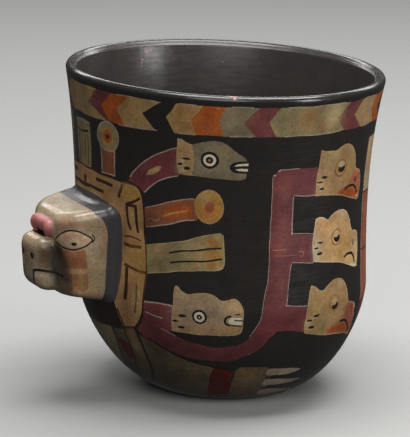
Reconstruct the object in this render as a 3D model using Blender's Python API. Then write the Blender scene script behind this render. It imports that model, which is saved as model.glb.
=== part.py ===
"""Effigy cup in burnished earthenware, hand-built as one piece.

A flared drinking cup with a rounded bowl and a small flat foot stands on z = 0. A condor's head, with a short
broad beak and a fleshy comb over it, stands out of the wall towards -Y. All sizes are in metres.
"""

import math

import bmesh
import bpy
from mathutils import Vector

# Cup
HEIGHT = 0.1325
RIM_RADIUS = 0.0650
BELLY_RADIUS = 0.0593
BELLY_HEIGHT = 0.0449
FOOT_RADIUS = 0.0234
WALL = 0.0042
FLOOR = 0.0065

# The bowl rises from the foot on a soft square curve, and the wall flares above the belly
BOWL_RISE = 1.5
BOWL_ROUND = 1.876
FLARE_POWER = 3.0

# Hand building left the rim higher over the head, and the wall leaning and bowed towards it
RIM_TILT = math.radians(2.06)
RIM_LEAN = 0.0021
WALL_BOW = 0.0021

# Head: where it leaves the wall and its face, as heights above the foot and half widths
HEAD_TOP = 0.0828
HEAD_BOTTOM = 0.0438
HEAD_ROOT_HALF_WIDTH = 0.0222
HEAD_JAW_HALF_WIDTH = 0.0184
HEAD_LENGTH = 0.0184
FACE_TOP = 0.0796
FACE_BOTTOM = 0.0472
FACE_HALF_WIDTH = 0.0172
CHEEK_ROUND = 0.0085
HEAD_EDGE_ROUND = 0.0040

# Beak, with its tip cut back below
BEAK_LENGTH = 0.0082
BEAK_ROOT_HALF_WIDTH = 0.0116
BEAK_TIP_HALF_WIDTH = 0.0104
BEAK_TOP = 0.0698
BEAK_BOTTOM = 0.0474
BEAK_UNDERCUT = 0.0020
BEAK_EDGE_ROUND = 0.0044

# Comb: a thick ledge across the brow, with a notch between it and the beak
COMB_LENGTH = 0.0038
COMB_ROOT_HALF_WIDTH = 0.0072
COMB_TIP_HALF_WIDTH = 0.0062
COMB_TOP = 0.0784
COMB_THICKNESS = 0.0050
COMB_EDGE_ROUND = 0.0019

# Facets
CUP_SEGMENTS = 72
BOWL_STEPS = 12
FLARE_STEPS = 7
LIP_STEPS = 5
INSIDE_STEPS = 14
EDGE_SEGMENTS = 4


def new_material(name, colour, roughness):
    material = bpy.data.materials.new(name)
    material.use_nodes = True
    shader = material.node_tree.nodes["Principled BSDF"]
    shader.inputs["Base Color"].default_value = (*colour, 1.0)
    shader.inputs["Roughness"].default_value = roughness
    shader.inputs["Metallic"].default_value = 0.0
    return material


def new_object(name, mesh_data, material):
    mesh = bpy.data.meshes.new(name)
    mesh_data.to_mesh(mesh)
    mesh_data.free()
    mesh.materials.append(material)
    obj = bpy.data.objects.new(name, mesh)
    bpy.context.scene.collection.objects.link(obj)
    return obj


def hide_tool(obj):
    """Keeps a shape that only joins or cuts another out of the finished object."""
    obj.hide_render = True
    obj.display_type = "WIRE"
    return obj


def add_boolean(obj, operation, tool):
    modifier = obj.modifiers.new(f"{operation.lower()} {tool.name}", "BOOLEAN")
    modifier.operation = operation
    modifier.solver = "EXACT"
    modifier.object = tool


def outer_radius(z):
    """Radius of the cup's outside at height z, before the lean."""
    if z < BELLY_HEIGHT:
        rise = 1.0 - max(0.0, 1.0 - z / BELLY_HEIGHT) ** BOWL_RISE
        return FOOT_RADIUS + (BELLY_RADIUS - FOOT_RADIUS) * rise ** (1.0 / BOWL_ROUND)
    above = (z - BELLY_HEIGHT) / (HEIGHT - WALL / 2 - BELLY_HEIGHT)
    return BELLY_RADIUS + (RIM_RADIUS - BELLY_RADIUS) * above**FLARE_POWER


def lean(point):
    """Moves a point of the true round cup to where the hand-built one has it."""
    share = min(max(point.z / HEIGHT, 0.0), 1.0)
    shift = RIM_LEAN * share + 4.0 * WALL_BOW * share * (1.0 - share)
    rise = -point.y * math.tan(RIM_TILT) * share**1.5
    return Vector((point.x, point.y - shift, point.z + rise))


def outside_heights():
    """Heights of the outer profile's points, close together where the bowl turns under."""
    bowl = [BELLY_HEIGHT * (step / BOWL_STEPS) ** 2 for step in range(BOWL_STEPS)]
    flare_height = HEIGHT - WALL / 2 - BELLY_HEIGHT
    flare = [BELLY_HEIGHT + flare_height * step / FLARE_STEPS for step in range(FLARE_STEPS + 1)]
    return bowl + flare


def thickness(z):
    """The wall grows thicker below the belly, down to the floor."""
    below = max(0.0, 1.0 - z / BELLY_HEIGHT)
    return WALL + (FLOOR - WALL) * below**2


def offset_inward(z, depth_share):
    """A point (radius, height) inside the wall, measured square to the outside at height z."""
    step = 1e-5
    slope = (outer_radius(z + step) - outer_radius(z)) / step
    scale = thickness(z) * depth_share / math.hypot(1.0, slope)
    return outer_radius(z) - scale, z + slope * scale


def inside_profile(depth_share):
    """The outer profile moved inward, from just under the lip down to the axis."""
    top = HEIGHT - WALL / 2
    floor = thickness(0.0) * depth_share
    points = []
    for step in range(INSIDE_STEPS):
        share = 1.0 - step / INSIDE_STEPS
        radius, height = offset_inward(top * share**1.7, depth_share)
        if height > floor:
            points.append((radius, height))
    edge = min(points[-1][0] * 0.8, FOOT_RADIUS)
    return points + [(edge, floor), (0.0, floor)]


def spin_profile(points):
    """A closed, leaned solid of revolution from (radius, height) pairs that start and end on the axis."""
    mesh = bmesh.new()
    verts = [mesh.verts.new((radius, 0.0, height)) for radius, height in points]
    edges = [mesh.edges.new(pair) for pair in zip(verts, verts[1:])]
    bmesh.ops.spin(
        mesh,
        geom=verts + edges,
        cent=(0.0, 0.0, 0.0),
        axis=(0.0, 0.0, 1.0),
        angle=math.tau,
        steps=CUP_SEGMENTS,
        use_merge=True,
    )
    bmesh.ops.remove_doubles(mesh, verts=mesh.verts, dist=1e-6)
    for vert in mesh.verts:
        vert.co = lean(vert.co)
    bmesh.ops.recalc_face_normals(mesh, faces=mesh.faces)
    return mesh


def cup_profile():
    outside = [(outer_radius(z), z) for z in outside_heights()]
    lip = []
    for step in range(1, LIP_STEPS):
        angle = math.pi * step / LIP_STEPS
        radius = RIM_RADIUS - WALL / 2 + WALL / 2 * math.cos(angle)
        lip.append((radius, HEIGHT - WALL / 2 + WALL / 2 * math.sin(angle)))
    return [(0.0, 0.0)] + outside + lip + inside_profile(1.0)


def core_profile():
    """The middle of the wall's thickness, closed over the top: it trims what is pressed onto the wall."""
    inside = inside_profile(0.5)
    return [(0.0, HEIGHT), (inside[0][0], HEIGHT)] + inside


def wall_front(z):
    """Where the outside meets the plane x = 0 on the head's side."""
    return lean(Vector((0.0, -outer_radius(z), z))).y


def tapered_block(root_y, face_y, root, face, undercut=0.0):
    """A block along Y. root and face are (bottom half width, top half width, bottom height, top height).

    Behind root_y it goes straight on into the wall, for as long as it stands out of it.
    """
    mesh = bmesh.new()
    bmesh.ops.create_cube(mesh, size=2.0)
    for vert in mesh.verts:
        side, along, up = vert.co
        low_width, high_width, low, high = root if along > 0 else face
        half_width = high_width if up > 0 else low_width
        front_y = face_y if up > 0 else face_y + undercut
        vert.co = (side * half_width, root_y if along > 0 else front_y, high if up > 0 else low)
    mesh.faces.ensure_lookup_table()
    back = max(mesh.faces, key=lambda face: face.calc_center_median().y)
    grown = bmesh.ops.extrude_face_region(mesh, geom=[back])
    bmesh.ops.delete(mesh, geom=[back], context="FACES_ONLY")
    moved = [item for item in grown["geom"] if isinstance(item, bmesh.types.BMVert)]
    bmesh.ops.translate(mesh, verts=moved, vec=(0.0, root_y - face_y, 0.0))
    bmesh.ops.recalc_face_normals(mesh, faces=mesh.faces)
    return mesh


def front_uprights(mesh, face_y):
    """The two upright edges at the front corners."""
    found = []
    for edge in mesh.edges:
        first, last = (vert.co for vert in edge.verts)
        at_front = abs(first.y - face_y) < 1e-5 and abs(last.y - face_y) < 1e-5
        if at_front and abs(first.z - last.z) > abs(first.x - last.x):
            found.append(edge)
    return found


def sharp_edges(mesh, root_y):
    """Edges with a real corner, but for those of the end that is buried."""
    found = []
    for edge in mesh.edges:
        buried = all(vert.co.y > root_y + 1e-5 for vert in edge.verts)
        if not buried and edge.calc_face_angle(0.0) > math.radians(40):
            found.append(edge)
    return found


def round_edges(mesh, edges, radius):
    bmesh.ops.bevel(
        mesh,
        geom=edges,
        offset=radius,
        offset_type="OFFSET",
        segments=EDGE_SEGMENTS,
        profile=0.5,
        affect="EDGES",
        clamp_overlap=True,
    )


def head_middle():
    return (HEAD_TOP + HEAD_BOTTOM) / 2


def face_plane():
    """The y of the plane of the face."""
    return wall_front(head_middle()) - HEAD_LENGTH


def make_head(material):
    root_y = wall_front(head_middle())
    mesh = tapered_block(
        root_y,
        face_plane(),
        (HEAD_JAW_HALF_WIDTH, HEAD_ROOT_HALF_WIDTH, HEAD_BOTTOM, HEAD_TOP),
        (FACE_HALF_WIDTH, FACE_HALF_WIDTH, FACE_BOTTOM, FACE_TOP),
    )
    round_edges(mesh, front_uprights(mesh, face_plane()), CHEEK_ROUND)
    round_edges(mesh, sharp_edges(mesh, root_y), HEAD_EDGE_ROUND)
    return hide_tool(new_object("head", mesh, material))


def make_beak(material):
    root_y = face_plane() + HEAD_LENGTH / 2
    mesh = tapered_block(
        root_y,
        face_plane() - BEAK_LENGTH,
        (BEAK_ROOT_HALF_WIDTH, BEAK_ROOT_HALF_WIDTH, BEAK_BOTTOM, BEAK_TOP),
        (BEAK_TIP_HALF_WIDTH, BEAK_TIP_HALF_WIDTH, BEAK_BOTTOM, BEAK_TOP),
        BEAK_UNDERCUT,
    )
    round_edges(mesh, sharp_edges(mesh, root_y), BEAK_EDGE_ROUND)
    return hide_tool(new_object("beak", mesh, material))


def make_comb(material):
    root_y = face_plane() + HEAD_LENGTH / 2
    low = COMB_TOP - COMB_THICKNESS
    mesh = tapered_block(
        root_y,
        face_plane() - COMB_LENGTH,
        (COMB_ROOT_HALF_WIDTH, COMB_ROOT_HALF_WIDTH, low, COMB_TOP),
        (COMB_TIP_HALF_WIDTH, COMB_TIP_HALF_WIDTH, low, COMB_TOP),
    )
    round_edges(mesh, sharp_edges(mesh, root_y), COMB_EDGE_ROUND)
    return hide_tool(new_object("comb", mesh, material))


def make_vase():
    black_slip = new_material("black slip, burnished", (0.014, 0.011, 0.010), 0.34)
    cream_slip = new_material("cream slip, burnished", (0.52, 0.44, 0.30), 0.42)
    red_slip = new_material("red slip, burnished", (0.36, 0.09, 0.10), 0.45)
    core = hide_tool(new_object("wall_core", spin_profile(core_profile()), cream_slip))
    head = make_head(cream_slip)
    add_boolean(head, "UNION", make_beak(cream_slip))
    add_boolean(head, "UNION", make_comb(red_slip))
    add_boolean(head, "DIFFERENCE", core)
    vase = new_object("vase", spin_profile(cup_profile()), black_slip)
    vase.data.shade_smooth()
    vase.data.set_sharp_from_angle(angle=math.radians(35))
    add_boolean(vase, "UNION", head)
    return vase


def main():
    for obj in list(bpy.data.objects):
        bpy.data.objects.remove(obj, do_unlink=True)
    make_vase()


main()
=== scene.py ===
"""Dresses the effigy cup in its burnished, slip-painted surface and sets a plain studio round it.

The cup's outside is laid out flat, by azimuth in degrees from the beak and height in millimetres. The painted
figures are outlines on that sheet. The sheet is cut along them, wrapped onto the leaning, bowed wall, and closed
with the lip, the inside and the foot. The bird's head is modelled, painted and joined to the wall.
"""

import math
import random

import bmesh
import bpy
import numpy as np
from mathutils import Matrix, Vector, geometry, kdtree


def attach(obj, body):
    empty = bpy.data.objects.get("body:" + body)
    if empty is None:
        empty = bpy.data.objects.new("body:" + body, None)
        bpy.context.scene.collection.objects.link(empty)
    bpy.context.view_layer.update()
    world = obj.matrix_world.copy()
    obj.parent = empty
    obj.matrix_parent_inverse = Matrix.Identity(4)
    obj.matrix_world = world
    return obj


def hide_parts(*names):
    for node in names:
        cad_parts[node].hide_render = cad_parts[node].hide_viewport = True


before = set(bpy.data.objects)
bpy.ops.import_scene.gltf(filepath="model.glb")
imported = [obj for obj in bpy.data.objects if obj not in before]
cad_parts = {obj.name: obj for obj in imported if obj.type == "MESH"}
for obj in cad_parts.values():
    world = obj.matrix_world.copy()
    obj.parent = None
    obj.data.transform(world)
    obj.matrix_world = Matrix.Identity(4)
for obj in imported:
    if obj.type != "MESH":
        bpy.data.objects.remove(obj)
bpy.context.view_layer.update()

bl_info = {
    "name": "Effigy cup",
    "version": (1, 0, 0),
    "blender": (4, 5, 0),
    "location": "View3D > Sidebar > Effigy cup",
    "description": "A slip-painted drinking cup with a condor's head, and its studio",
    "category": "Object",
}

MM = 0.001
PIECE = "painted_effigy_cup"
NODE = "vase"


# Property helpers


def linear(hex_colour):
    """sRGB hex colour, such as "a1b2c3", as linear red, green and blue."""
    channels = [int(hex_colour[place:place + 2], 16) / 255 for place in (0, 2, 4)]
    return tuple(c / 12.92 if c <= 0.04045 else ((c + 0.055) / 1.055) ** 2.4 for c in channels)


def length(name, metres, description):
    return bpy.props.FloatProperty(
        name=name, description=description, default=metres, unit="LENGTH", precision=5
    )


def angle(name, degrees, description):
    return bpy.props.FloatProperty(
        name=name, description=description, default=math.radians(degrees), subtype="ANGLE", unit="ROTATION"
    )


def number(name, value, description):
    return bpy.props.FloatProperty(name=name, description=description, default=value, precision=3)


def slip(name, hex_colour, description):
    return bpy.props.FloatVectorProperty(
        name=name, description=description, default=linear(hex_colour),
        subtype="COLOR", size=3, min=0.0, max=1.0,
    )


class CupSizes(bpy.types.PropertyGroup):
    """The hollow cup, as the solid model has it."""

    height: length("Height", 0.1325, "Foot to lip, on the axis")
    rim_radius: length("Rim radius", 0.0650, "Outside radius at the lip")
    belly_radius: length("Belly radius", 0.0593, "Outside radius where the bowl meets the wall")
    belly_height: length("Belly height", 0.0449, "Height where the bowl meets the wall")
    foot_radius: length("Foot radius", 0.0234, "Radius of the flat foot")
    wall: length("Wall", 0.0042, "Thickness of the wall and the lip")
    floor: length("Floor", 0.0065, "Thickness of the floor")
    bowl_rise: number("Bowl rise", 1.5, "How fast the bowl turns up from the foot")
    bowl_round: number("Bowl roundness", 1.876, "How square the bowl's curve is")
    flare_power: number("Flare", 3.0, "How late the wall flares towards the rim")
    rim_tilt: angle("Rim tilt", 2.06, "How much higher the rim is over the head")
    rim_lean: length("Rim lean", 0.0021, "How far the rim leans towards the head")
    wall_bow: length("Wall bow", 0.0021, "How far the wall bows towards the head at half height")


class HeadSizes(bpy.types.PropertyGroup):
    """The condor's head, as the solid model has it: heights above the foot and half widths."""

    top: length("Head top", 0.0828, "Top of the head at the wall")
    bottom: length("Head bottom", 0.0438, "Bottom of the head at the wall")
    root_half_width: length("Root half width", 0.0222, "Half width at the wall, above")
    jaw_half_width: length("Jaw half width", 0.0184, "Half width at the wall, below")
    reach: length("Head reach", 0.0184, "Wall to the plane of the face")
    face_top: length("Face top", 0.0796, "Top of the face")
    face_bottom: length("Face bottom", 0.0472, "Bottom of the face")
    face_half_width: length("Face half width", 0.0172, "Half width of the face before its cheeks are rounded")
    cheek_round: length("Cheek rounding", 0.0085, "Radius of the upright corners")
    edge_round: length("Edge rounding", 0.0040, "Radius of the other edges")
    beak_reach: length("Beak reach", 0.0082, "Face to the beak's tip")
    beak_root: length("Beak root half width", 0.0116, "Half width of the beak at the face")
    beak_tip: length("Beak tip half width", 0.0104, "Half width of the beak's tip")
    beak_top: length("Beak top", 0.0698, "Top of the beak")
    beak_bottom: length("Beak bottom", 0.0474, "Bottom of the beak")
    beak_undercut: length("Beak undercut", 0.0020, "How far the tip is cut back below")
    beak_round: length("Beak rounding", 0.0044, "Radius of the beak's edges")
    comb_reach: length("Comb reach", 0.0038, "Face to the comb's edge")
    comb_root: length("Comb root half width", 0.0072, "Half width of the comb at the brow")
    comb_tip: length("Comb tip half width", 0.0062, "Half width of the comb's edge")
    comb_top: length("Comb top", 0.0784, "Top of the comb")
    comb_thickness: length("Comb thickness", 0.0050, "Height of the comb")
    comb_round: length("Comb rounding", 0.0019, "Radius of the comb's edges")


class SlipColours(bpy.types.PropertyGroup):
    """The slips, as they look once burnished and fired, and a few colours that paint shade."""

    black: slip("Black", "2c2825", "Ground of the cup")
    lip: slip("Lip", "2a2724", "Stripe along the lip")
    inside: slip("Inside", "393533", "Inside of the cup")
    foot: slip("Foot", "5a4a3c", "Bare clay under the foot")
    tan: slip("Tan", "ae8b5e", "Figures")
    gold: slip("Gold", "ad843f", "Warmer tan")
    ochre: slip("Ochre", "b0875a", "Frame round the bird's head")
    olive: slip("Olive tan", "94845c", "Cooler tan")
    grey: slip("Grey", "83765e", "Grey-brown")
    cream: slip("Cream", "c4ab80", "Pale figures")
    sand: slip("Sand", "b39c72", "Edges of the tan figures")
    warm: slip("Warm cream", "d2a872", "The middle head of the staff")
    flake: slip("Flake", "8f6a62", "Pinkish clay where the dark slip has flaked off")
    pale: slip("Pale line", "ad998b", "Thin edges that the darker slips leave bare")
    white: slip("White", "d6ccb2", "Eyes and teeth")
    orange: slip("Orange", "b2571f", "Orange")
    rust: slip("Rust", "8f563c", "Red-orange of the rays")
    maroon: slip("Maroon", "733a3c", "Deep red")
    brown: slip("Brown", "3c2512", "Drawn lines on tan")
    line: slip("Black line", "211a16", "Drawn lines")
    # Also painted shade: under the chin, on the staff's low sweep and towards the foot
    umber: slip("Umber", "2e1f19", "Ground under the chin")
    # Painted shade: tan darkened for the straps and legs near the foot; it also draws a few lines
    shade: slip("Shaded tan", "685941", "Straps and legs near the foot")
    ankle: slip("Ankle band", "5a1c10", "Band round the ankle")
    claw: slip("Claw", "9d8b77", "Claws")
    face: slip("Face", "ab977b", "Cream of the bird's face")
    blush: slip("Blush", "bf8064", "Soft orange on the face")
    band: slip("Head band", "4f4c4c", "Black band round the head")
    comb: slip("Comb", "b4706b", "Flesh of the comb")
    # Painted shade: the dark under the comb's overhang
    notch: slip("Notch", "3a2020", "Dark notch under the comb")
    # Painted shade: the grey that darkens the hollow between the beak and the cheek; it also fills the nostril's
    # centre
    smudge: slip("Cheek grey", "3f3830", "Grey stripe on the cheek")
    # Painted shade: brown in the crease beside the beak
    crease_shade: slip("Crease", "6f5337", "Brown beside the beak")
    beak: slip("Beak orange", "b5694a", "Beaks of the staff's heads")
    salmon: slip("Salmon", "98563f", "Upright band towards the back")
    patch: slip("Cheek orange", "8f5d3a", "Orange patches")
    eye: slip("Eye", "c4aa88", "Ground of the bird's eye")
    stripe: slip("Cheek yellow", "8f7c47", "Yellow stripe on the cheek")


class StudioSettings(bpy.types.PropertyGroup):
    """Where the camera and the lights stand."""

    camera_azimuth: angle("Camera azimuth", 66.0, "Camera round from the beak")
    camera_elevation: angle("Camera elevation", 13.28, "Camera above level")
    camera_roll: angle("Camera roll", 0.9, "Camera turned about its own axis")
    camera_distance: length("Camera distance", 1.8, "Camera to the cup's axis")
    camera_aside: length("Aim aside", -0.0095, "Aim point beside the axis, seen from the camera")
    camera_aim: length("Aim height", 0.06894, "Height of the aim point")
    camera_focal: number("Focal length", 362.3, "Focal length for a 36 mm high frame, in millimetres")
    floor_size: length("Floor size", 6.0, "Side of the pale floor")


# The cup's form


class CupForm:
    """The cup's outside, lean and wall, worked out from its sizes. Lengths are in metres."""

    def __init__(self, sizes):
        self.sizes = sizes
        self.wall_top = sizes.height - sizes.wall / 2
        heights = [self.wall_top * (step / ARC_STEPS) ** 2 for step in range(ARC_STEPS + 1)]
        radii = [self.radius(height) for height in heights]
        runs = [math.dist(low, high) for low, high in zip(zip(radii, heights), zip(radii[1:], heights[1:]))]
        self.heights = np.array(heights)
        self.arcs = np.concatenate([[0.0], np.cumsum(runs)])

    def radius(self, height):
        """Radius of the outside before the lean."""
        sizes = self.sizes
        if height < sizes.belly_height:
            rise = 1.0 - max(0.0, 1.0 - height / sizes.belly_height) ** sizes.bowl_rise
            gain = sizes.belly_radius - sizes.foot_radius
            return sizes.foot_radius + gain * rise ** (1.0 / sizes.bowl_round)
        above = (height - sizes.belly_height) / (self.wall_top - sizes.belly_height)
        return sizes.belly_radius + (sizes.rim_radius - sizes.belly_radius) * above**sizes.flare_power

    def shift(self, height):
        """How far the axis stands towards the head at a height."""
        share = self.share(height)
        return self.sizes.rim_lean * share + 4.0 * self.sizes.wall_bow * share * (1.0 - share)

    def tilt(self, height):
        """How fast the cup rises towards the head at a height."""
        return math.tan(self.sizes.rim_tilt) * self.share(height) ** TILT_POWER

    def share(self, height):
        return min(max(height / self.sizes.height, 0.0), 1.0)

    def lean(self, point):
        """Moves a point of the true round cup to where the hand-built one has it."""
        across, along, up = point
        return Vector((across, along - self.shift(up), up - along * self.tilt(up)))

    def arc_at(self, height):
        """Length of the outside's profile from the foot up to a height."""
        return float(np.interp(height, self.heights, self.arcs))

    def on_wall(self, round_mm, arc_mm):
        """The point of the outside at a place on the flat sheet."""
        height = float(np.interp(arc_mm * MM, self.arcs, self.heights))
        turn = math.radians(round_mm / MM_PER_DEGREE)
        radius = self.radius(height)
        return self.lean((radius * math.sin(turn), -radius * math.cos(turn), height))

    def wall_front(self, height):
        """Where the outside meets the plane x = 0 on the head's side."""
        return self.lean((0.0, -self.radius(height), height)).y

    def thickness(self, height):
        below = max(0.0, 1.0 - height / self.sizes.belly_height)
        return self.sizes.wall + (self.sizes.floor - self.sizes.wall) * below**2

    def inside_points(self, depth_share, steps):
        """The outside's profile moved inward, from under the lip down to the floor's edge."""
        floor = self.thickness(0.0) * depth_share
        points = []
        for step in range(steps):
            height = self.wall_top * (1.0 - (step / steps) ** 1.3) ** 1.5
            slope = (self.radius(height + PROBE) - self.radius(height)) / PROBE
            inward = self.thickness(height) * depth_share / math.hypot(1.0, slope)
            if height + slope * inward > floor:
                points.append((self.radius(height) - inward, height + slope * inward))
        return points + [(min(points[-1][0] * 0.8, self.sizes.foot_radius), floor)]

    def lip_points(self, steps):
        half = self.sizes.wall / 2
        turns = [math.pi * step / steps for step in range(steps)]
        centre = self.sizes.rim_radius - half
        return [(centre + half * math.cos(turn), self.wall_top + half * math.sin(turn)) for turn in turns]


ARC_STEPS = 400
PROBE = 1e-5
TILT_POWER = 1.5
MM_PER_DEGREE = 1.05
HALF_ROUND = 180 * MM_PER_DEGREE
RING_POINTS = 180
LIP_STEPS = 10
INSIDE_STEPS = 46


# Drawing on the flat sheet


class Patch:
    """One area of slip on the flat sheet: closed loops of points, filled between them, in a named colour."""

    def __init__(self, colour, loops):
        self.colour = colour
        self.loops = [np.array(loop) for loop in loops]
        every = np.concatenate(self.loops)
        self.low = every.min(axis=0)
        self.high = every.max(axis=0)

    def moved(self, round_mm):
        return Patch(self.colour, [loop + (round_mm, 0.0) for loop in self.loops])

    def covers(self, points):
        """Which points lie on the patch: those with an odd number of edges to one side."""
        inside = np.zeros(len(points), dtype=bool)
        near = np.all((points >= self.low) & (points <= self.high), axis=1)
        chosen = points[near]
        odd = np.zeros(len(chosen), dtype=bool)
        for loop in self.loops:
            for start, end in zip(loop, np.roll(loop, -1, axis=0)):
                spans = (chosen[:, 1] < start[1]) != (chosen[:, 1] < end[1])
                if not spans.any():
                    continue
                share = (chosen[:, 1] - start[1]) / (end[1] - start[1] + 1e-12)
                odd ^= spans & (chosen[:, 0] < start[0] + share * (end[0] - start[0]))
        inside[near] = odd
        return inside


def smooth_line(points, closed, step):
    """A curve through the points, sampled every step. A point with a third value is a sharp corner."""
    places = [np.array(point[:2], dtype=float) for point in points]
    sharp = [len(point) > 2 for point in points]
    count = len(places)
    if not closed:
        sharp[0] = sharp[-1] = True
    tangents = []
    for index, place in enumerate(places):
        before = places[index - 1]
        after = places[(index + 1) % count]
        span = np.linalg.norm(after - place) + np.linalg.norm(place - before)
        tangents.append((after - before) / max(span, 1e-9))
    sampled = []
    for index in range(count if closed else count - 1):
        follow = (index + 1) % count
        start, end = places[index], places[follow]
        run = np.linalg.norm(end - start)
        straight = (end - start) / max(run, 1e-9)
        leave = straight if sharp[index] else tangents[index]
        arrive = straight if sharp[follow] else tangents[follow]
        pieces = max(1, math.ceil(run / step))
        for piece in range(pieces):
            t = piece / pieces
            sampled.append(
                (2 * t**3 - 3 * t**2 + 1) * start
                + (t**3 - 2 * t**2 + t) * run * leave
                + (3 * t**2 - 2 * t**3) * end
                + (t**3 - t**2) * run * arrive
            )
    if not closed:
        sampled.append(places[-1])
    return sampled


def beside(line, distance, closed):
    """The line moved sideways, with its corners mitred."""
    count = len(line)
    moved = []
    for index, place in enumerate(line):
        before = line[index - 1] if closed or index > 0 else None
        after = line[(index + 1) % count] if closed or index < count - 1 else None
        sides = []
        for start, end in ((before, place), (place, after)):
            if start is not None and end is not None:
                run = end - start
                sides.append(np.array((-run[1], run[0])) / max(np.linalg.norm(run), 1e-9))
        side = sum(sides)
        side = side / max(np.linalg.norm(side), 1e-9)
        mitre = max(float(side @ sides[0]), 0.5)
        moved.append(place + side * distance / mitre)
    return moved


class Sheet:
    """Collects patches in order, the later ones on top, in the sheet's own millimetres."""

    def __init__(self, place, step):
        self.place = place
        self.step = step
        self.side = 1
        self.patches = []
        self.tints = []

    def halves(self):
        """The sheet as its two halves, each drawn from the beak outwards, the bird's right one first."""
        for side in (-1, 1):
            half = Sheet(lambda azimuth, height, side=side: self.place(side * azimuth, height), self.step)
            half.side = side
            half.patches = self.patches
            half.tints = self.tints
            yield half

    def put(self, points):
        return [(*self.place(point[0], point[1]), *point[2:]) for point in points]

    def fill(self, colour, points, edge=None, edge_width=0.5):
        outline = smooth_line(self.put(points), True, self.step)
        self.patches.append(Patch(colour, [outline]))
        if edge:
            self.ring(edge, outline, edge_width)

    def ring(self, colour, outline, width):
        """A line of even width along a closed outline."""
        loops = [beside(outline, side * width / 2, True) for side in (-1, 1)]
        self.patches.append(Patch(colour, loops))

    def line(self, colour, points, width):
        middle = smooth_line(self.put(points), False, self.step)
        left = beside(middle, width / 2, False)
        right = beside(middle, -width / 2, False)
        self.patches.append(Patch(colour, [left + right[::-1]]))

    def line_each(self, colour, *lines):
        """Several lines: each is its width and then its points."""
        for width, *points in lines:
            self.line(colour, points, width)

    def oval(self, colour, centre, radii, turn=0.0, edge=None, edge_width=0.5):
        middle = np.array(self.place(*centre))
        count = max(10, math.ceil(math.tau * max(radii) / self.step))
        outline = []
        for index in range(count):
            around = math.tau * index / count
            across, up = radii[0] * math.cos(around), radii[1] * math.sin(around)
            cosine, sine = math.cos(math.radians(turn)), self.side * math.sin(math.radians(turn))
            outline.append(middle + (across * cosine - up * sine, across * sine + up * cosine))
        self.patches.append(Patch(colour, [outline]))
        if edge:
            self.ring(edge, outline, edge_width)

    def dash(self, colour, centre, width, height=0.9):
        self.oval(colour, centre, (width / 2, height / 2))

    def dash_each(self, colour, *dashes):
        for centre, width, height in dashes:
            self.dash(colour, centre, width, height)

    def tint(self, colour, centre, radii, strength):
        """A soft cloud of another colour that shades into the pale slips."""
        self.tints.append((colour, np.array(self.place(*centre)), np.array(radii), strength))

    def tint_each(self, *tints):
        for tint in tints:
            self.tint(*tint)


C = 1  # marks a sharp corner in an outline


def chevron_band(sheet, low, high):
    """Arrowheads that run round under the lip, each with its point to the left."""
    middle = (low + high) / 2
    edges = list(CHEVRONS) + [(colour, at, at - 6.0, at) for colour, at in HIDDEN_CHEVRONS]
    first = edges[0]
    edges.append((first[0], first[1] + 360, first[2] + 360, first[3] + 360))
    for (colour, upper, point, lower), (_, next_upper, next_point, next_lower) in zip(edges, edges[1:]):
        sheet.fill(colour, [
            (upper, high, C), (point, middle, C), (lower, low, C), (next_lower, low, C),
            (next_point, middle, C), (next_upper, high, C),
        ])
    for side in (low, high):
        for start, end in PALE_EDGES:
            sheet.line("pale", [(start, side), (end, side)], 0.4)
    for at, colour in BAND_CLOUDS:
        sheet.tint(colour, (at, middle + 1), (5.5, 5.5), 0.55)
    for at, up in ((60, -3), (22, -3), (54.5, 3), (53, -3.4), (98, 2), (104, -3)):
        sheet.tint("rust", (at, middle + up), (2.8, 2.6), 0.5)
    sheet.tint("olive", (34.5, middle + 2), (2.6, 2.0), 0.7)


# Arrowheads on the side of the photograph: colour, then the azimuths where the left side meets the upper
# edge, its point and the lower edge
CHEVRONS = (
    ("tan", -8.5, -14.5, -8.0), ("maroon", 13.5, 6.8, 18.0), ("orange", 21.5, 15.4, 19.0),
    ("tan", 29.7, 23.7, 27.1), ("black", 42.8, 35.1, 40.2), ("tan", 48.4, 44.8, 47.9),
    ("orange", 58.4, 53.8, 56.0), ("grey", 66.4, 64.1, 65.8), ("maroon", 78.2, 72.6, 77.5),
    ("olive", 86.2, 82.0, 85.2),
    ("maroon", 116.6, 110.9, 115.6), ("tan", 125.0, 120.2, 126.7), ("orange", 135.8, 133.6, 138.4),
)
# The others, with the place of the left side
HIDDEN_CHEVRONS = (
    ("black", 147), ("tan", 155), ("maroon", 172), ("olive", 183), ("orange", 209),
    ("grey", 221), ("maroon", 236), ("tan", 248), ("black", 271), ("orange", 280),
    ("olive", 293), ("maroon", 315), ("orange", 326), ("maroon", 339),
)
# Soft clouds of another slip in the band: azimuth and colour
BAND_CLOUDS = (
    (51, "gold"), (33, "gold"), (70, "olive"), (97, "gold"),
    (90, "grey"), (109, "cream"), (130, "cream"), (4, "olive"),
)
PALE_EDGES = ((24.0, 41.0), (49.5, 56.0), (68.0, 76.0), (88.5, 114.0), (127.0, 134.0), (-60.0, -40.0))


def both_sides(points):
    """An outline from the half on the bird's left, given from the top down."""
    return points + [(-point[0], *point[1:]) for point in reversed(points) if point[0]]


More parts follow.
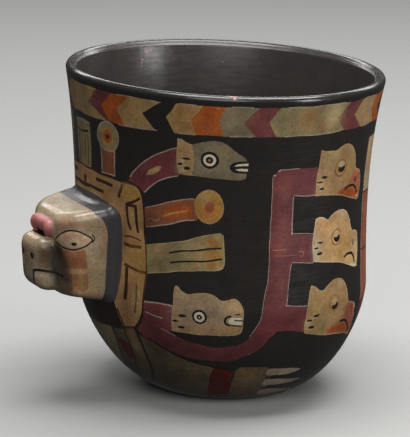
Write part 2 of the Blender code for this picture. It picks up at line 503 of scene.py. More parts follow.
def head_frame(sheet):
    """The frame round the head, the black edge inside it and the ground under the chin."""
    sheet.fill("ochre", both_sides([
        (6, 95, C), (11, 94.4), (18, 93.9), (25, 93.4), (31.4, 92.8), (33.2, 91), (34.2, 88), (35, 82),
        (35.7, 70), (35.7, 58.3), (35, 51.7), (34.2, 46.1), (32.6, 40.3), (28.6, 34.3, C), (20.4, 32.9),
        (13.1, 32), (0, 31),
    ]), edge="brown", edge_width=0.75)
    # The ground under the chin: its own dark brown, darkened further as painted shade under the head
    sheet.fill("umber", both_sides([(0, 31.4), (21.6, 33.2, C), (19, 45, C)]))
    for height, reach in ((38.6, 15), (35.2, 17)):
        sheet.line("line", [
            (-reach, height + 0.4), (-5, height), (5, height), (reach, height + 0.4),
        ], 1.2)
    for half in sheet.halves():
        half.fill("gold", [
            (25.6, 92.2, C), (31.4, 91.6), (33, 88.8, C), (27.4, 85.6, C), (23.8, 87.4, C),
        ])
        half.line_each("brown",
            (1.2, (24.8, 92.4), (23.9, 89.4), (22.9, 86.4)), (1.2, (27.2, 84.5), (30, 86), (33.2, 88.2)),
            (1.4, (0.8, 91.2, C), (0.2, 87.2, C), (7.3, 87.6), (14.2, 87.2)),
            (1.4, (9, 91.5), (14.2, 91.3), (19.6, 90.6)),
            (1.3, (28.7, 74.6), (27.6, 77.8), (27.1, 84.1, C), (31.1, 84.3, C), (31.8, 79), (32.4, 74)),
            (0.7, (25.4, 71.4), (29, 71.7), (33.6, 71)), (1.3, (25.4, 68.6), (29, 67.9), (33.6, 68.2)),
            (1.3, (25.4, 60.0), (27.8, 59.4), (32, 58.4), (35.4, 58.2)),
            (1.7, (26.6, 59.0), (26.2, 52.9), (25.4, 45.6)),
        )
        half.line("shade", [(31.4, 52.6), (30.9, 46.6), (29.6, 41.0)], 0.9)
        half.line("line", [(20.6, 41), (21.4, 37.4), (22.3, 33.6)], 0.9)
        half.line("cream", [(32.5, 50.4), (32.7, 47.8)], 1.0)
        half.dash("cream", (31.3, 45.0), 1.0, 0.6)
        # A pale worn edge on the band's top, and a painted highlight along the head's joint with the wall
        half.line("cream", [(3, 85.5), (8.6, 85.3), (14, 84.4)], 0.5)
        half.tint_each(
            ("gold", (31, 63.5), (5.0, 3.4), 0.75), ("gold", (33, 55), (2.4, 5.0), 0.5),
            ("tan", (27, 91), (2.6, 2.6), 0.5), ("umber", (25, 45), (3.5, 6.0), 0.5),
            ("umber", (25.5, 74), (1.6, 9.0), 0.35), ("rust", (30, 70), (4.5, 2.2), 0.35),
        )
    sheet.fill("band", both_sides([
        (0, 85.2), (7, 85.0), (12, 84.5), (18, 82.8), (21, 81.6), (23, 80.3), (24, 78.4), (24.4, 71.7),
        (24.5, 65.6), (23.6, 57.3), (21.8, 48.8), (19.8, 43.8, C),
    ]))


def brow_feather(sheet):
    """The feather that stands over the head, on its axis."""
    sheet.fill("olive", both_sides([(6.6, 113.8, C), (6.4, 104), (5.8, 95.1, C)]))
    sheet.line("pale", [(-6, 113.2), (6, 113.2)], 0.7)
    sheet.line("line", [(-5, 109.6), (-1, 109.1), (5, 109.5)], 0.8)
    for half in sheet.halves():
        half.line("shade", [(1.6, 108), (1.5, 96)], 0.8)
        half.line("line", [(4.2, 108.2), (3.9, 96)], 0.6)


def disc_stem(sheet, side):
    """A stem with a ringed disc on top, beside the feather."""
    at = side * 17.4
    sheet.fill("rust", [
        (at - 4.0, 95.0, C), (at - 3.9, 106, C), (at + 3.9, 106, C), (at + 3.6, 95.0, C),
    ], edge="pale", edge_width=0.6)
    middle = (at + side * 0.3, 110.3)
    sheet.oval("olive", middle, (6.1, 5.8), edge="pale", edge_width=0.6)
    sheet.oval("gold", middle, (3.4, 3.6))
    sheet.oval("orange", middle, (2.5, 2.7))
    sheet.oval("rust", middle, (1.5, 1.7))
    sheet.oval("umber", middle, (0.8, 1.0))


def upper_arm(sheet):
    """A maroon arm that curves up from the frame's corner and ends in an animal's head."""

    sheet.fill("maroon", [
        (27.6, 94.3, C), (31, 98.6), (36, 103.4), (41, 106.9), (49, 110.3, C), (49.6, 99.6, C),
        (46, 98.5), (42, 96.5), (38.4, 93.8), (35, 90.4, C), (33.2, 92.4), (30, 93.8),
    ])
    sheet.line_each("pale",
        (0.45, (28.6, 95.8), (31, 98.8), (36, 103.6), (41, 107.1), (48.6, 110.2)),
        (0.5, (35.4, 90.9), (38.4, 93.7), (42, 96.4), (46, 98.3), (49.2, 99.4)),
    )
    sheet.fill("tan", [
        (36.0, 97.6, C), (37.4, 99.8), (40.2, 101.8), (42.4, 102.5, C), (42.2, 101.0), (39.6, 98.7),
    ])
    sheet.fill("tan", [
        (48.6, 104), (48.7, 110), (48.9, 114.6, C), (50.6, 114.4), (52.4, 113.2), (54.8, 112.4, C),
        (55.4, 106), (54.8, 99.7, C), (49.6, 100.2, C),
    ])
    sheet.fill("grey", [
        (54.6, 112.4, C), (57.5, 113.4), (61, 114.1), (64, 114.2), (67, 113.2), (69.6, 111.2),
        (72, 109.4), (74.6, 107.6), (75.2, 105.4), (75, 102), (74.6, 99.6), (72, 98.9), (66, 99),
        (60, 99.3), (54.6, 99.7, C), (55.2, 106),
    ])
    for radius, colour in ((3.6, "line"), (2.5, "white"), (1.5, "line"), (0.5, "ochre")):
        sheet.oval(colour, (61.1, 106.5), (radius, radius))
    sheet.fill("line", [
        (75.6, 106.6, C), (71, 106), (68.9, 105), (68.3, 103.8), (69.2, 102.4), (71, 101.6),
        (75.4, 101.2, C),
    ])
    sheet.fill("white", [(75.7, 105.6, C), (72, 105.1), (70.2, 104.3), (71.2, 104.2), (75.6, 104.5, C)])
    sheet.fill("white", [(75.5, 103.2, C), (72.5, 103.2), (70.6, 103.0), (72, 102.4), (75.4, 102.1, C)])
    sheet.dash_each("cream", ((50.8, 105.2), 2.6, 0.9), ((51.4, 101.6), 3.0, 1.2))
    sheet.dash_each("line",
        ((52.3, 106.2), 3.3, 1.0), ((50.0, 104.0), 2.3, 0.9), ((52.7, 102.4), 2.7, 1.3),
    )
    sheet.tint_each(
        ("cream", (49.6, 112.5), (1.6, 2.6), 0.5), ("cream", (50.5, 103), (2.2, 3.0), 0.45),
        ("ochre", (53.2, 109), (1.6, 3.0), 0.5), ("olive", (66, 110), (5.0, 2.6), 0.6),
        ("line", (62, 100), (9.0, 1.6), 0.35),
    )


def disc_ray(sheet):
    """A rust-coloured ray with a pale stroke that ends in a disc."""

    sheet.fill("rust", [
        (35.2, 84.6, C), (40, 86.2), (46, 88.2), (51, 89.7), (56.5, 90.6, C), (57.6, 86), (56.8, 81.7, C),
        (51, 80.8), (46, 79.4), (40, 77.7), (35.7, 76.7, C),
    ])
    sheet.line_each("pale",
        (0.4, (35.6, 84.7), (40, 86.2), (46, 88.2), (51, 89.7), (55.4, 90.4)),
        (0.5, (36, 76.8), (40, 77.8), (46, 79.5), (51, 80.9), (55.6, 81.7)),
    )
    sheet.fill("orange", [
        (42.4, 82.5), (45, 84.7), (49, 86.3), (53.6, 87.3), (54.6, 85.2), (50, 82.8), (45, 81.6),
    ])
    sheet.line("gold", [(43.4, 82.4), (46, 83.4), (49.6, 84.3), (53.2, 85.6)], 1.1)
    sheet.line("cream", [(44.2, 82.8), (46.4, 83.6), (49.6, 84.4), (52.8, 85.5)], 0.45)
    sheet.line("pale", [(36.6, 79.6), (38, 80.8), (39.4, 79.8), (41.6, 80.9)], 0.3)
    sheet.tint_each(
        ("orange", (50, 86), (6.0, 4.0), 0.5), ("umber", (37, 80), (2.6, 5.0), 0.4),
    )
    middle = (61.2, 87.5)
    sheet.oval("gold", middle, (5.9, 6.9))
    sheet.ring("tan", smooth_line(sheet.put(ring_points(middle, (5.6, 6.6))), True, sheet.step), 0.6)
    sheet.oval("ochre", (61.4, 87.2), (2.5, 2.9))
    sheet.oval("patch", (61.4, 87.4), (1.9, 2.2))
    sheet.oval("rust", (61.5, 87.5), (1.3, 1.6))
    sheet.tint_each(
        ("orange", (61.6, 85.6), (3.8, 4.2), 0.5), ("cream", (59, 91), (2.4, 2.2), 0.35),
    )
    for radius, place in ((0.5, 65.4), (0.35, 67.2)):
        sheet.dash("umber", (place, 89.0), radius, 0.35)


def ring_points(middle, radii):
    """Points round an oval, in degrees and millimetres of height."""
    turns = [math.tau * step / 12 for step in range(12)]
    across = radii[0] / MM_PER_DEGREE
    return [(middle[0] + across * math.cos(turn), middle[1] + radii[1] * math.sin(turn)) for turn in turns]


def feather_ray(sheet):
    """A broad tan feather that points away from the head, with two drawn quills."""

    sheet.fill("olive", [
        (36, 69.6, C), (45, 71.4), (55, 74.2), (65.6, 77, C), (66.8, 76, C), (67.1, 70), (66.9, 63.2),
        (65.8, 62.1), (60, 61.6), (50, 60.7), (45, 59.8), (36, 58.2, C),
    ], edge="sand", edge_width=0.35)
    sheet.fill("gold", [(60.6, 74.6, C), (65.6, 76, C), (66.3, 71.3, C), (60.6, 70.6, C)])
    sheet.fill("gold", [(60.4, 69.4, C), (66.2, 70.0, C), (66.2, 66.8, C), (60.4, 66.1, C)])
    sheet.fill("gold", [(60.4, 65.2, C), (65.8, 65.8, C), (65.8, 63.2, C), (60.4, 62.6, C)])
    sheet.line_each("line",
        (0.75, (45.6, 67.4), (50, 68.6), (56, 69.7), (66.2, 70.8)),
        (0.75, (46, 63.6), (50, 64.4), (57, 65.1), (66.2, 66.3)),
    )
    for height in (73.2, 68.6, 64.4):
        sheet.tint("rust", (62.6, height), (2.2, 1.8), 0.6)
    sheet.tint_each(
        ("cream", (64.8, 75.4), (1.6, 1.4), 0.6), ("cream", (65.2, 62.6), (1.6, 1.2), 0.6),
        ("tan", (57, 66), (3.4, 8.0), 0.7), ("umber", (40, 62), (6.0, 2.6), 0.35),
        ("tan", (42, 69), (5.0, 1.6), 0.6),
    )


def lower_arm(sheet):
    """The lower maroon bar and the second animal's head."""

    sheet.fill("maroon", [
        (34.8, 46.4, C), (40, 46.4), (48, 46.2, C), (48, 36, C), (43, 34.6), (37, 31.2), (32.4, 30.2, C),
        (29.4, 33.6, C), (33, 39),
    ])
    sheet.line_each("pale",
        (0.6, (35, 46.5), (40, 46.5), (46.6, 46.3)), (0.6, (34.8, 42), (38, 41.3), (42.5, 40.4)),
        (0.35, (41, 35.8), (44, 34.6), (47, 33.2)),
    )
    sheet.fill("tan", [
        (46, 35.6, C), (46.3, 41), (47, 46.4), (47.6, 51), (48.5, 54.5), (50.4, 52.7), (53, 51.3),
        (56, 51.6), (60, 52.1), (63, 51.4), (65.6, 49.5), (68.4, 49.6), (71, 50.4), (73.2, 48.4),
        (74.4, 45), (74.2, 40), (73.6, 36.2), (71.8, 35), (66, 34.7), (58, 34.9), (50, 35.2),
    ], edge="sand", edge_width=0.4)
    for radii, colour in RING_EYE:
        sheet.oval(colour, (57.5, 42.5), radii)
    sheet.tint("cream", (48.6, 51), (1.6, 3.0), 0.6)
    for along in (52, 59, 66):
        sheet.tint("claw", (along, 43.5), (6.0, 8.0), 0.6)
    sheet.tint_each(
        ("grey", (62, 45), (4.0, 3.0), 0.3), ("cream", (71, 46.6), (3.0, 2.6), 0.5),
        ("blush", (62, 37), (7.0, 2.0), 0.35),
    )
    sheet.line("line", [(69.6, 43.3), (67.8, 42.4), (67.2, 41), (67.8, 39.7), (69.3, 39)], 0.9)
    sheet.fill("white", [(69.4, 42.5), (74.2, 42.7, C), (74, 39.5, C), (69.6, 39.7), (68.6, 41)])
    sheet.line_each("line",
        (0.6, (70.8, 41.4), (74.3, 41.4)), (0.6, (69.4, 39.1), (74, 38.9)),
        (0.5, (71.4, 44.0), (73.4, 44.1)),
    )
    sheet.dash_each("cream", ((49.2, 40.9), 2.8, 0.9), ((48.4, 36.4), 2.4, 0.8))
    sheet.dash_each("line", ((50.5, 42.5), 3.6, 1.3), ((47.4, 39.9), 2.6, 1.0), ((49.7, 37.4), 3.1, 1.2))


def staff(sheet):
    """The maroon staff: it sweeps under the lower head, then rises with three bars to the right."""

    sheet.fill("maroon", [
        (31.5, 31.6, C), (38, 28.5), (43, 26.2), (50, 24), (56, 23), (64, 22.6), (70, 23.1), (75, 24.8),
        (80, 27.2), (83.4, 30), (86, 33.4), (88.4, 36, C), (94, 35.5), (101.6, 34, C), (101.8, 45.4, C),
        (91.7, 46.7, C), (92.6, 51), (93.3, 57), (94.2, 64, C), (104.6, 63.2, C), (104.8, 74.9, C),
        (94.4, 76.3, C), (94.2, 84), (94.4, 91.6, C), (104.8, 91, C), (105, 102.6, C), (87.4, 102.8, C),
        (85.6, 100.6, C), (85.3, 90), (85.1, 78), (84.9, 66), (84.2, 57), (83, 49.5), (81.6, 43),
        (80.2, 38.4), (77.6, 34), (74, 31.2), (70, 29.8), (64, 29.3), (58, 30), (52, 31.2), (47, 33.4),
        (43, 35.6), (38, 37, C),
    ])
    sheet.line_each("pale",
        (0.28, (85.4, 100), (85.2, 88), (85, 76), (84.7, 64), (83.9, 56), (82.6, 48.6), (81.2, 42.4),
         (79.4, 37.6), (77, 33.8)),
        (0.45, (94.3, 91.2, C), (94.1, 84), (94.3, 77)), (0.4, (94.4, 91.7), (104.4, 91.1)),
        (0.25, (94.4, 76.2), (104.4, 74.9)), (0.35, (94.2, 64.1), (104.2, 63.3)),
        (0.3, (94.1, 63.6), (93.3, 57), (92.4, 50.4), (91.8, 47)), (0.35, (91.8, 46.8), (101.4, 45.5)),
        (0.25, (87.6, 102.9), (96, 102.7)),
    )
    # Painted shade: umber clouds darken the staff's low sweep towards the base
    for at_round, height in ((40, 30), (52, 27), (66, 25), (78, 29)):
        sheet.tint("umber", (at_round, height), (8.0, 5.0), 0.4)
    for height in (95, 80, 70, 56):
        sheet.tint("blush", (90, height), (3.0, 5.0), 0.16)
    for points in SCRATCHES:
        sheet.line("blush", points, 0.2)


# Scratches through the maroon of the staff
SCRATCHES = (
    ((86.2, 69.6), (89, 69.4), (92, 69.7)),
    ((87, 67.2), (91, 67.0), (96.5, 67.3)),
    ((97.2, 68.4), (98.6, 68.8), (99.6, 67.8), (98.8, 66.6), (97.6, 66.9)),
)


def staff_head_a(sheet):
    """The upper of the three profile heads on the staff's bars, with an orange beak."""

    sheet.fill("tan", [
        (105.2, 109.4, C), (106.8, 108.8), (110.5, 108.5), (113.4, 108.4), (115.4, 109.5), (118.4, 110.1),
        (121.4, 109.6), (124, 107.8), (125.9, 105), (126.8, 102), (127.4, 99.2), (129, 98), (131.2, 97.4),
        (132.7, 94), (133.2, 90), (132.9, 86.6), (131.6, 85.2), (127, 86.6), (121, 88.3), (115, 89.4),
        (110, 90.1), (104.6, 90.7, C), (104.5, 96), (104.8, 103),
    ], edge="sand", edge_width=0.35)
    sheet.fill("beak", [
        (126.6, 98.4), (129, 97.6), (131, 96.8), (132.4, 94), (132.8, 89), (131.4, 86.0), (127, 87),
        (121, 88.7), (115.8, 89.7, C), (118, 91.4), (121.6, 92.6), (124.6, 95.0),
    ])
    sheet.fill("orange", [
        (116.8, 90.0), (121, 91.6), (126, 90.4), (129.4, 88.4), (130.6, 86.4), (126, 87.4), (120, 89.2),
    ])
    sheet.dash("white", (130.6, 86.6), 1.3, 0.9)
    sheet.line("line", [(120.8, 91.2), (123.6, 92.0), (127.4, 91.4), (129.4, 89.8), (130.6, 87.6)], 1.0)
    sheet.oval("maroon", (128.4, 93.9), (1.1, 1.4))
    sheet.oval("patch", (116.9, 100.6), (3.7, 3.6))
    sheet.oval("tan", (117.0, 100.8), (3.1, 3.0))
    divided_eye(sheet, 117.2, 101.4)
    neck_dashes(sheet, ((108.0, 97.8, 3.0, 1.3), (106.2, 95.8, 3.0, 0.8), (107.4, 92.9, 2.8, 0.9)))
    sheet.tint_each(
        ("gold", (122, 97), (3.0, 3.0), 0.35), ("cream", (106.6, 94), (2.0, 3.4), 0.6),
        ("olive", (110, 104), (4.0, 4.0), 0.5), ("rust", (121, 89.5), (3.0, 1.6), 0.5),
    )


def divided_eye(half, at_round, height, turn=0.0):
    """An eye with a pale upper half and a dark lower half, which leans the same way on both sides."""
    shift = 0.2 * half.side
    half.oval("line", (at_round + shift, height - 1.0), (2.2, 1.6), turn)
    half.oval("cream", (at_round - shift, height + 0.7), (1.9, 1.3), turn)


def neck_dashes(sheet, dashes):
    """Dark dashes across a neck, with the pale slip showing under each."""
    for at_round, height, width, thick in dashes:
        sheet.dash("cream", ((at_round - 0.8), height - 0.7), width * 0.8, 0.6)
        sheet.dash("line", (at_round, height), width, thick)


def staff_head_b(sheet):
    """The middle profile head: warm cream, with no orange."""

    sheet.fill("warm", [
        (104.9, 80.8, C), (106.6, 81.4), (108.8, 81.2), (111.6, 79.8), (114, 81.4), (117, 82.5),
        (120.4, 82.5), (123.2, 80.9), (125.5, 77.8), (127, 74.2), (128.3, 72.4), (131, 72), (133.2, 70.6),
        (133.9, 66), (133.8, 60), (133.4, 56.8, C), (130, 57.4), (126, 58.8), (120, 60.6), (112, 61.9),
        (108, 62.9), (104.5, 63.8, C), (104.3, 70), (104.5, 76),
    ], edge="white", edge_width=0.3)
    sheet.oval("patch", (117.0, 71.8), (3.5, 3.4))
    sheet.oval("warm", (117.1, 71.9), (3.0, 2.9))
    divided_eye(sheet, 117.1, 72.6)
    sheet.line("brown", [(129.2, 68.2), (129.6, 66.8), (129.3, 65.6)], 1.0)
    sheet.line("line", [(122.4, 62.6), (125, 63.5), (128.6, 62.8), (130.4, 60.8), (131.2, 58.6)], 1.0)
    sheet.line("white", [(127, 58.9), (130, 58.0), (133, 57.2)], 0.8)
    neck_dashes(sheet, ((107.9, 70.6, 3.0, 0.9), (106.3, 68.3, 2.6, 0.8), (107.9, 65.9, 3.2, 1.2)))
    sheet.tint_each(
        ("white", (106, 67), (2.0, 5.0), 0.7), ("blush", (107, 78), (3.0, 3.0), 0.35),
        ("gold", (121, 68), (5.0, 5.0), 0.5), ("white", (121, 81), (3.4, 1.6), 0.4),
        ("white", (132, 66), (2.0, 5.0), 0.4),
    )


def staff_head_c(sheet):
    """The lower profile head, drawn longer as the bowl turns under."""

    sheet.fill("tan", [
        (102.6, 49.6), (103.6, 53.4, C), (105.4, 52.6), (107.4, 51), (109.4, 50.6), (111.5, 52),
        (114, 53.5), (117, 54), (120.2, 53.5), (122.6, 51.6), (124.4, 48.4), (125.4, 44.6), (126.3, 42.8),
        (128.4, 42.2), (130.8, 41.2), (132.4, 39.2), (134, 36), (135.8, 31.6), (138, 26.4, C),
        (134.6, 26.8), (129.6, 28.3), (122, 29.6), (114.4, 30.8), (108, 32), (101.4, 33.7, C),
        (100.9, 38), (101.6, 44),
    ], edge="sand", edge_width=0.4)
    sheet.fill("beak", [
        (125.8, 42.4), (128.2, 41.8), (130.6, 40.8), (133.4, 36.2), (135.4, 31.4), (137, 27.2, C),
        (130, 28.8), (122, 30), (114.8, 31.2, C), (114.6, 33.4), (119, 34.4), (123, 36), (124.8, 39.4),
    ])
    sheet.fill("orange", [
        (115.4, 31.6), (120, 33.6), (127, 33.2), (131, 30.6), (133, 28.4), (127, 29.6), (120, 30.8),
    ])
    sheet.line("rust", [(128.6, 40.6), (130.6, 38.2), (131.6, 36)], 1.3)
    sheet.line("line", [(121.6, 35.2), (126, 35.0), (129, 33.4), (132, 30.8), (134.2, 28.4)], 1.1)
    sheet.line("white", [(131.6, 41), (133.2, 38.4)], 0.7)
    sheet.oval("patch", (116, 44.6), (3.6, 3.6))
    sheet.oval("tan", (116.1, 44.5), (3.0, 3.0))
    divided_eye(sheet, 116.2, 44.4, 25)
    neck_dashes(sheet, ((106.4, 40.4, 3.4, 1.0), (103.0, 39.0, 3.0, 1.0), (104.4, 35.9, 3.6, 1.4)))
    sheet.tint_each(
        ("ochre", (116, 45), (5.0, 5.0), 0.45), ("gold", (108, 46), (3.4, 4.4), 0.35),
        ("olive", (110, 36), (4.0, 4.4), 0.7), ("cream", (103, 37), (1.8, 3.0), 0.6),
        ("cream", (121, 52), (3.0, 1.8), 0.5), ("rust", (128, 33), (4.0, 4.0), 0.4),
    )


def back_band(sheet):
    """The upright band that closes the figures off towards the back."""

    near, far = 138.6, 155.0
    sheet.fill("cream", [(near, 109.4, C), (far, 109.4, C), (far, 86.2, C), (near, 86.2, C)])
    for height in (100, 75, 52):
        sheet.tint("blush", (146, height), (9.0, 9.0), 0.3)
    sheet.fill("salmon", [(near, 86.2, C), (far, 86.2, C), (far, 62, C), (near, 62, C)])
    sheet.fill("salmon", [(near, 62, C), (far, 62, C), (far, 41, C), (near + 0.4, 41, C)])
    sheet.fill("maroon", [
        (near + 0.4, 41, C), (far, 41, C), (far - 2, 27, C), (near + 7, 27), (near + 2.4, 34),
    ])
    sheet.line_each("pale",
        (0.5, (near, 109.4), (near, 62), (near + 0.4, 41)), (0.5, (far, 109.4), (far, 41), (far - 2, 27)),
    )
    sheet.line_each("line",
        (0.6, (near, 86.2), (far, 86.2)), (0.6, (near, 62), (far, 62)),
    )


def straps_and_feet(sheet):
    """The tan straps that hang under the frame, and the legs with their bands and claws along the base."""
    # Painted shade: the straps are in tan darkened where the bowl turns under
    sheet.fill("shade", both_sides([
        (0, 30.7), (15, 31.5), (28.4, 33.6, C), (29.3, 27), (29.2, 21),
        (28.5, 15.6), (24, 10), (17, 6.6), (0, 5.8),
    ]))
    sheet.fill("olive", both_sides([(13, 31.4, C), (12.6, 26), (10, 20.6), (7, 15), (0, 13.5)]))
    for half in sheet.halves():
        half.fill("ankle", [(15, 27), (20.4, 26), (20.2, 20.4), (17.6, 17.4), (14.2, 19.8), (14.6, 23)])
        # Painted shade: the umber clouds darken the wall towards the foot; the tan ones are the slip's own
        # colour
        half.tint_each(
            ("umber", (34, 14), (8.0, 10.0), 0.55), ("umber", (12, 14), (12.0, 8.0), 0.5),
            ("tan", (25, 26), (2.4, 7.0), 0.5), ("tan", (78, 16), (6.0, 4.0), 0.3),
        )
        half.line_each("line",
            (0.9, (13.8, 31.6), (13.7, 27), (12, 22.6), (8.5, 17.8), (5, 13), (0, 11)),
            (0.9, (21.6, 32.8), (21.5, 26), (20.4, 19.6), (17, 14.4), (12, 9.6), (5, 8)),
            (1.0, (28.2, 33.6), (29.1, 27), (29, 20.6), (27.6, 14.8), (23, 9.6), (17, 6.6)),
        )
        # Painted shade: the legs and the foot are in the tan darkened near the base
        half.fill("shade", [
            (29.8, 31, C), (34, 29.4), (39, 27.2), (45, 24.6), (54, 21.4), (62, 19.6), (70, 18, C),
            (66, 3.2, C), (30, 3.2, C), (26, 9.4), (29.2, 15.4), (29.8, 22),
        ])
        half.line("line", [(36, 28.8), (42, 26), (48, 23.4), (56, 21), (63, 19.4), (70.6, 18)], 0.9)
        half.fill("ankle", [(61.4, 19.2, C), (70.6, 17.8, C), (67, 3.2, C), (54, 3.2, C), (57.6, 11)])
        half.fill("shade", [
            (71.6, 18.4, C), (74, 19.8), (80, 19.4), (86.6, 18.8), (89.4, 17), (90, 10), (90, 3.2, C),
            (67.4, 3.2, C),
        ])
        for low, high, tip in ((14.6, 18.0, 106.6), (9.2, 12.6, 111.4), (3.6, 7.0, 113.6)):
            middle = (low + high) / 2 - 0.6
            half.fill("claw", [
                (87.4, high - 0.3), (95, high - 0.2), (102, high - 1.0), (tip, middle), (100, low),
                (92, low), (87.2, low + 0.5),
            ])
        for height in (13.6, 8.0):
            half.line("line", [(87.4, height + 0.1), (92, height), (98, height - 0.2)], 0.9)


def chips(sheet, draw):
    """Small losses where the slip has flaked off the buff clay, most of them near the rim and the base."""
    for index in range(90):
        at_round = draw.uniform(-178.0, 178.0)
        height = draw.choice((draw.uniform(5, 30), draw.uniform(30, 116), draw.uniform(116, 129)))
        size = draw.uniform(0.12, 0.34)
        sheet.oval("pale", (at_round, height), (size * draw.uniform(0.7, 1.5), size), draw.uniform(0, 180))
    for at_round, height, radii in STAFF_CHIPS:
        sheet.oval("sand", (at_round, height), radii)


# The rings of a round eye from the outside in: half sizes and colour
RING_EYE = (((3.1, 3.2), "line"), ((2.2, 2.3), "white"), ((1.15, 1.2), "line"), ((0.3, 0.4), "white"))
# Chips at the staff's corners: azimuth, height and half sizes
STAFF_CHIPS = (
    (85.9, 100.4, (0.6, 0.4)), (87.6, 102.4, (0.7, 0.3)), (94.2, 76.4, (0.4, 0.6)), (91.9, 46.8, (0.7, 0.35)),
)
CHIP_SEED = 11
CHEVRON_HEIGHTS = (116.4, 128.4)
HALF_FIGURES = (
    staff, lower_arm, upper_arm, disc_ray, feather_ray, staff_head_a, staff_head_b, staff_head_c, back_band,
)


def paint_wall(sheet):
    """Every figure, from the ground up."""
    for half in sheet.halves():
        for figure in HALF_FIGURES:
            figure(half)
        disc_stem(sheet, half.side)
    straps_and_feet(sheet)
    brow_feather(sheet)
    head_frame(sheet)
    chevron_band(sheet, *CHEVRON_HEIGHTS)
    chips(sheet, random.Random(CHIP_SEED))


# Wrapping the sheet onto the cup


def hand_wobble(points):
    """Moves outline points a little, as a brush does, and the same way for lines that share a border."""
    draw = random.Random(5)
    moved = np.array(points, dtype=float)
    for axis in (0, 1):
        for wave in range(7):
            rounds = draw.randint(6, 40)
            rise = math.tau / draw.uniform(9.0, 30.0)
            phase = draw.uniform(0.0, math.tau)
            turns = points[:, 0] * rounds * math.pi / HALF_ROUND + points[:, 1] * rise + phase
            moved[:, axis] += WOBBLE / 7**0.5 * np.sin(turns)
    return moved


WOBBLE = 0.18
GRID = 1.8
CLEAR = 0.85
OUTLINE_STEP = 0.9


def cut_sheet(patches, arc_top):
    """The flat sheet's triangles, cut along every outline: points, triangles and a colour for each."""
    points = []
    edges = []

    def add_loop(loop, closed=True):
        first = len(points)
        points.extend(tuple(map(float, place)) for place in loop)
        count = len(loop)
        last = count if closed else count - 1
        edges.extend((first + index, first + (index + 1) % count) for index in range(last))

    rows = round(arc_top / GRID)
    across = [HALF_ROUND * (2 * index / RING_POINTS - 1) for index in range(RING_POINTS)]
    upward = [arc_top * index / rows for index in range(rows)]
    border = [(place, 0.0) for place in across] + [(HALF_ROUND, place) for place in upward]
    border += [(-place, arc_top) for place in across] + [(-HALF_ROUND, arc_top - place) for place in upward]
    add_loop(border)
    for patch in patches:
        for loop in patch.loops:
            add_loop(loop)
    fixed = kdtree.KDTree(len(points))
    for index, place in enumerate(points):
        fixed.insert((*place, 0.0), index)
    fixed.balance()
    columns = round(2 * HALF_ROUND / GRID)
    for row in range(1, rows):
        for column in range(columns):
            place = (HALF_ROUND * (2 * (column + 0.25 + 0.5 * (row % 2)) / columns - 1), arc_top * row / rows)
            if fixed.find((*place, 0.0))[2] > CLEAR:
                points.append(place)
    result = geometry.delaunay_2d_cdt([Vector(place) for place in points], edges, [], 0, 1e-5, False)
    flat = np.array([tuple(place) for place in result[0]])
    triangles = np.array([tuple(face) for face in result[2]])
    centres = flat[triangles].mean(axis=1)
    triangles = triangles[np.abs(centres[:, 0]) < HALF_ROUND]
    centres = centres[np.abs(centres[:, 0]) < HALF_ROUND]
    colours = np.full(len(triangles), -1)
    for index, patch in enumerate(patches):
        colours[patch.covers(centres)] = index
    return flat, triangles, colours


def finish_of(colour):
    """Roughness of a burnished slip, and how much its tone varies."""
    return FINISHES.get(colour, (0.36, 0.8))


FINISHES = {
    "black": (0.26, 0.25), "lip": (0.19, 0.2), "inside": (0.26, 0.3),
    "foot": (0.75, 0.5), "band": (0.26, 0.25),
    "maroon": (0.38, 0.7), "line": (0.40, 0.2), "umber": (0.40, 0.5),
    "notch": (0.45, 0.3), "comb": (0.44, 0.6),
    "face": (0.24, 0.8), "white": (0.42, 0.3), "shade": (0.42, 1.0),
}


def write_paint(mesh, face_colours, settings, tints=(), places=None):
    """Stores each face's slip on its corners: colour with its mottling, and roughness.

    The tints shade into the pale slips; places are the corners on the flat sheet.
    """
    names = sorted(set(face_colours))
    shades = np.array([(*getattr(settings.colours, name), finish_of(name)[1]) for name in names])
    roughness = np.array([finish_of(name)[0] for name in names], dtype=np.float32)
    order = {name: index for index, name in enumerate(names)}
    sides = np.zeros(len(mesh.polygons), dtype=np.int32)
    mesh.polygons.foreach_get("loop_total", sides)
    which = np.repeat(np.array([order[name] for name in face_colours]), sides)
    colours = shades[which].astype(np.float32)
    for colour, centre, radii, strength in tints:
        distance = (((places - centre) / radii) ** 2).sum(axis=1)
        share = strength * np.exp(-distance) * (colours[:, 3] > 0.45)
        colours[:, :3] += (np.array(getattr(settings.colours, colour)) - colours[:, :3]) * share[:, None]
    mesh.attributes.new("slip", "FLOAT_COLOR", "CORNER")
    mesh.attributes.new("polish", "FLOAT", "CORNER")
    mesh.attributes["slip"].data.foreach_set("color", colours.ravel())
    mesh.attributes["polish"].data.foreach_set("value", roughness[which])


def deselect():
    if bpy.context.object and bpy.context.object.mode != "OBJECT":
        bpy.ops.object.mode_set(mode="OBJECT")
    bpy.ops.object.select_all(action="DESELECT")


def choose(*objects):
    """Selects these objects alone, the first one active."""
    deselect()
    for obj in objects:
        obj.select_set(True)
    bpy.context.view_layer.objects.active = objects[0]


def apply_modifier(obj, kind, **settings):
    modifier = obj.modifiers.new(kind.lower(), kind)
    for name, value in settings.items():
        setattr(modifier, name, value)
    choose(obj)
    bpy.ops.object.modifier_apply(modifier=modifier.name)


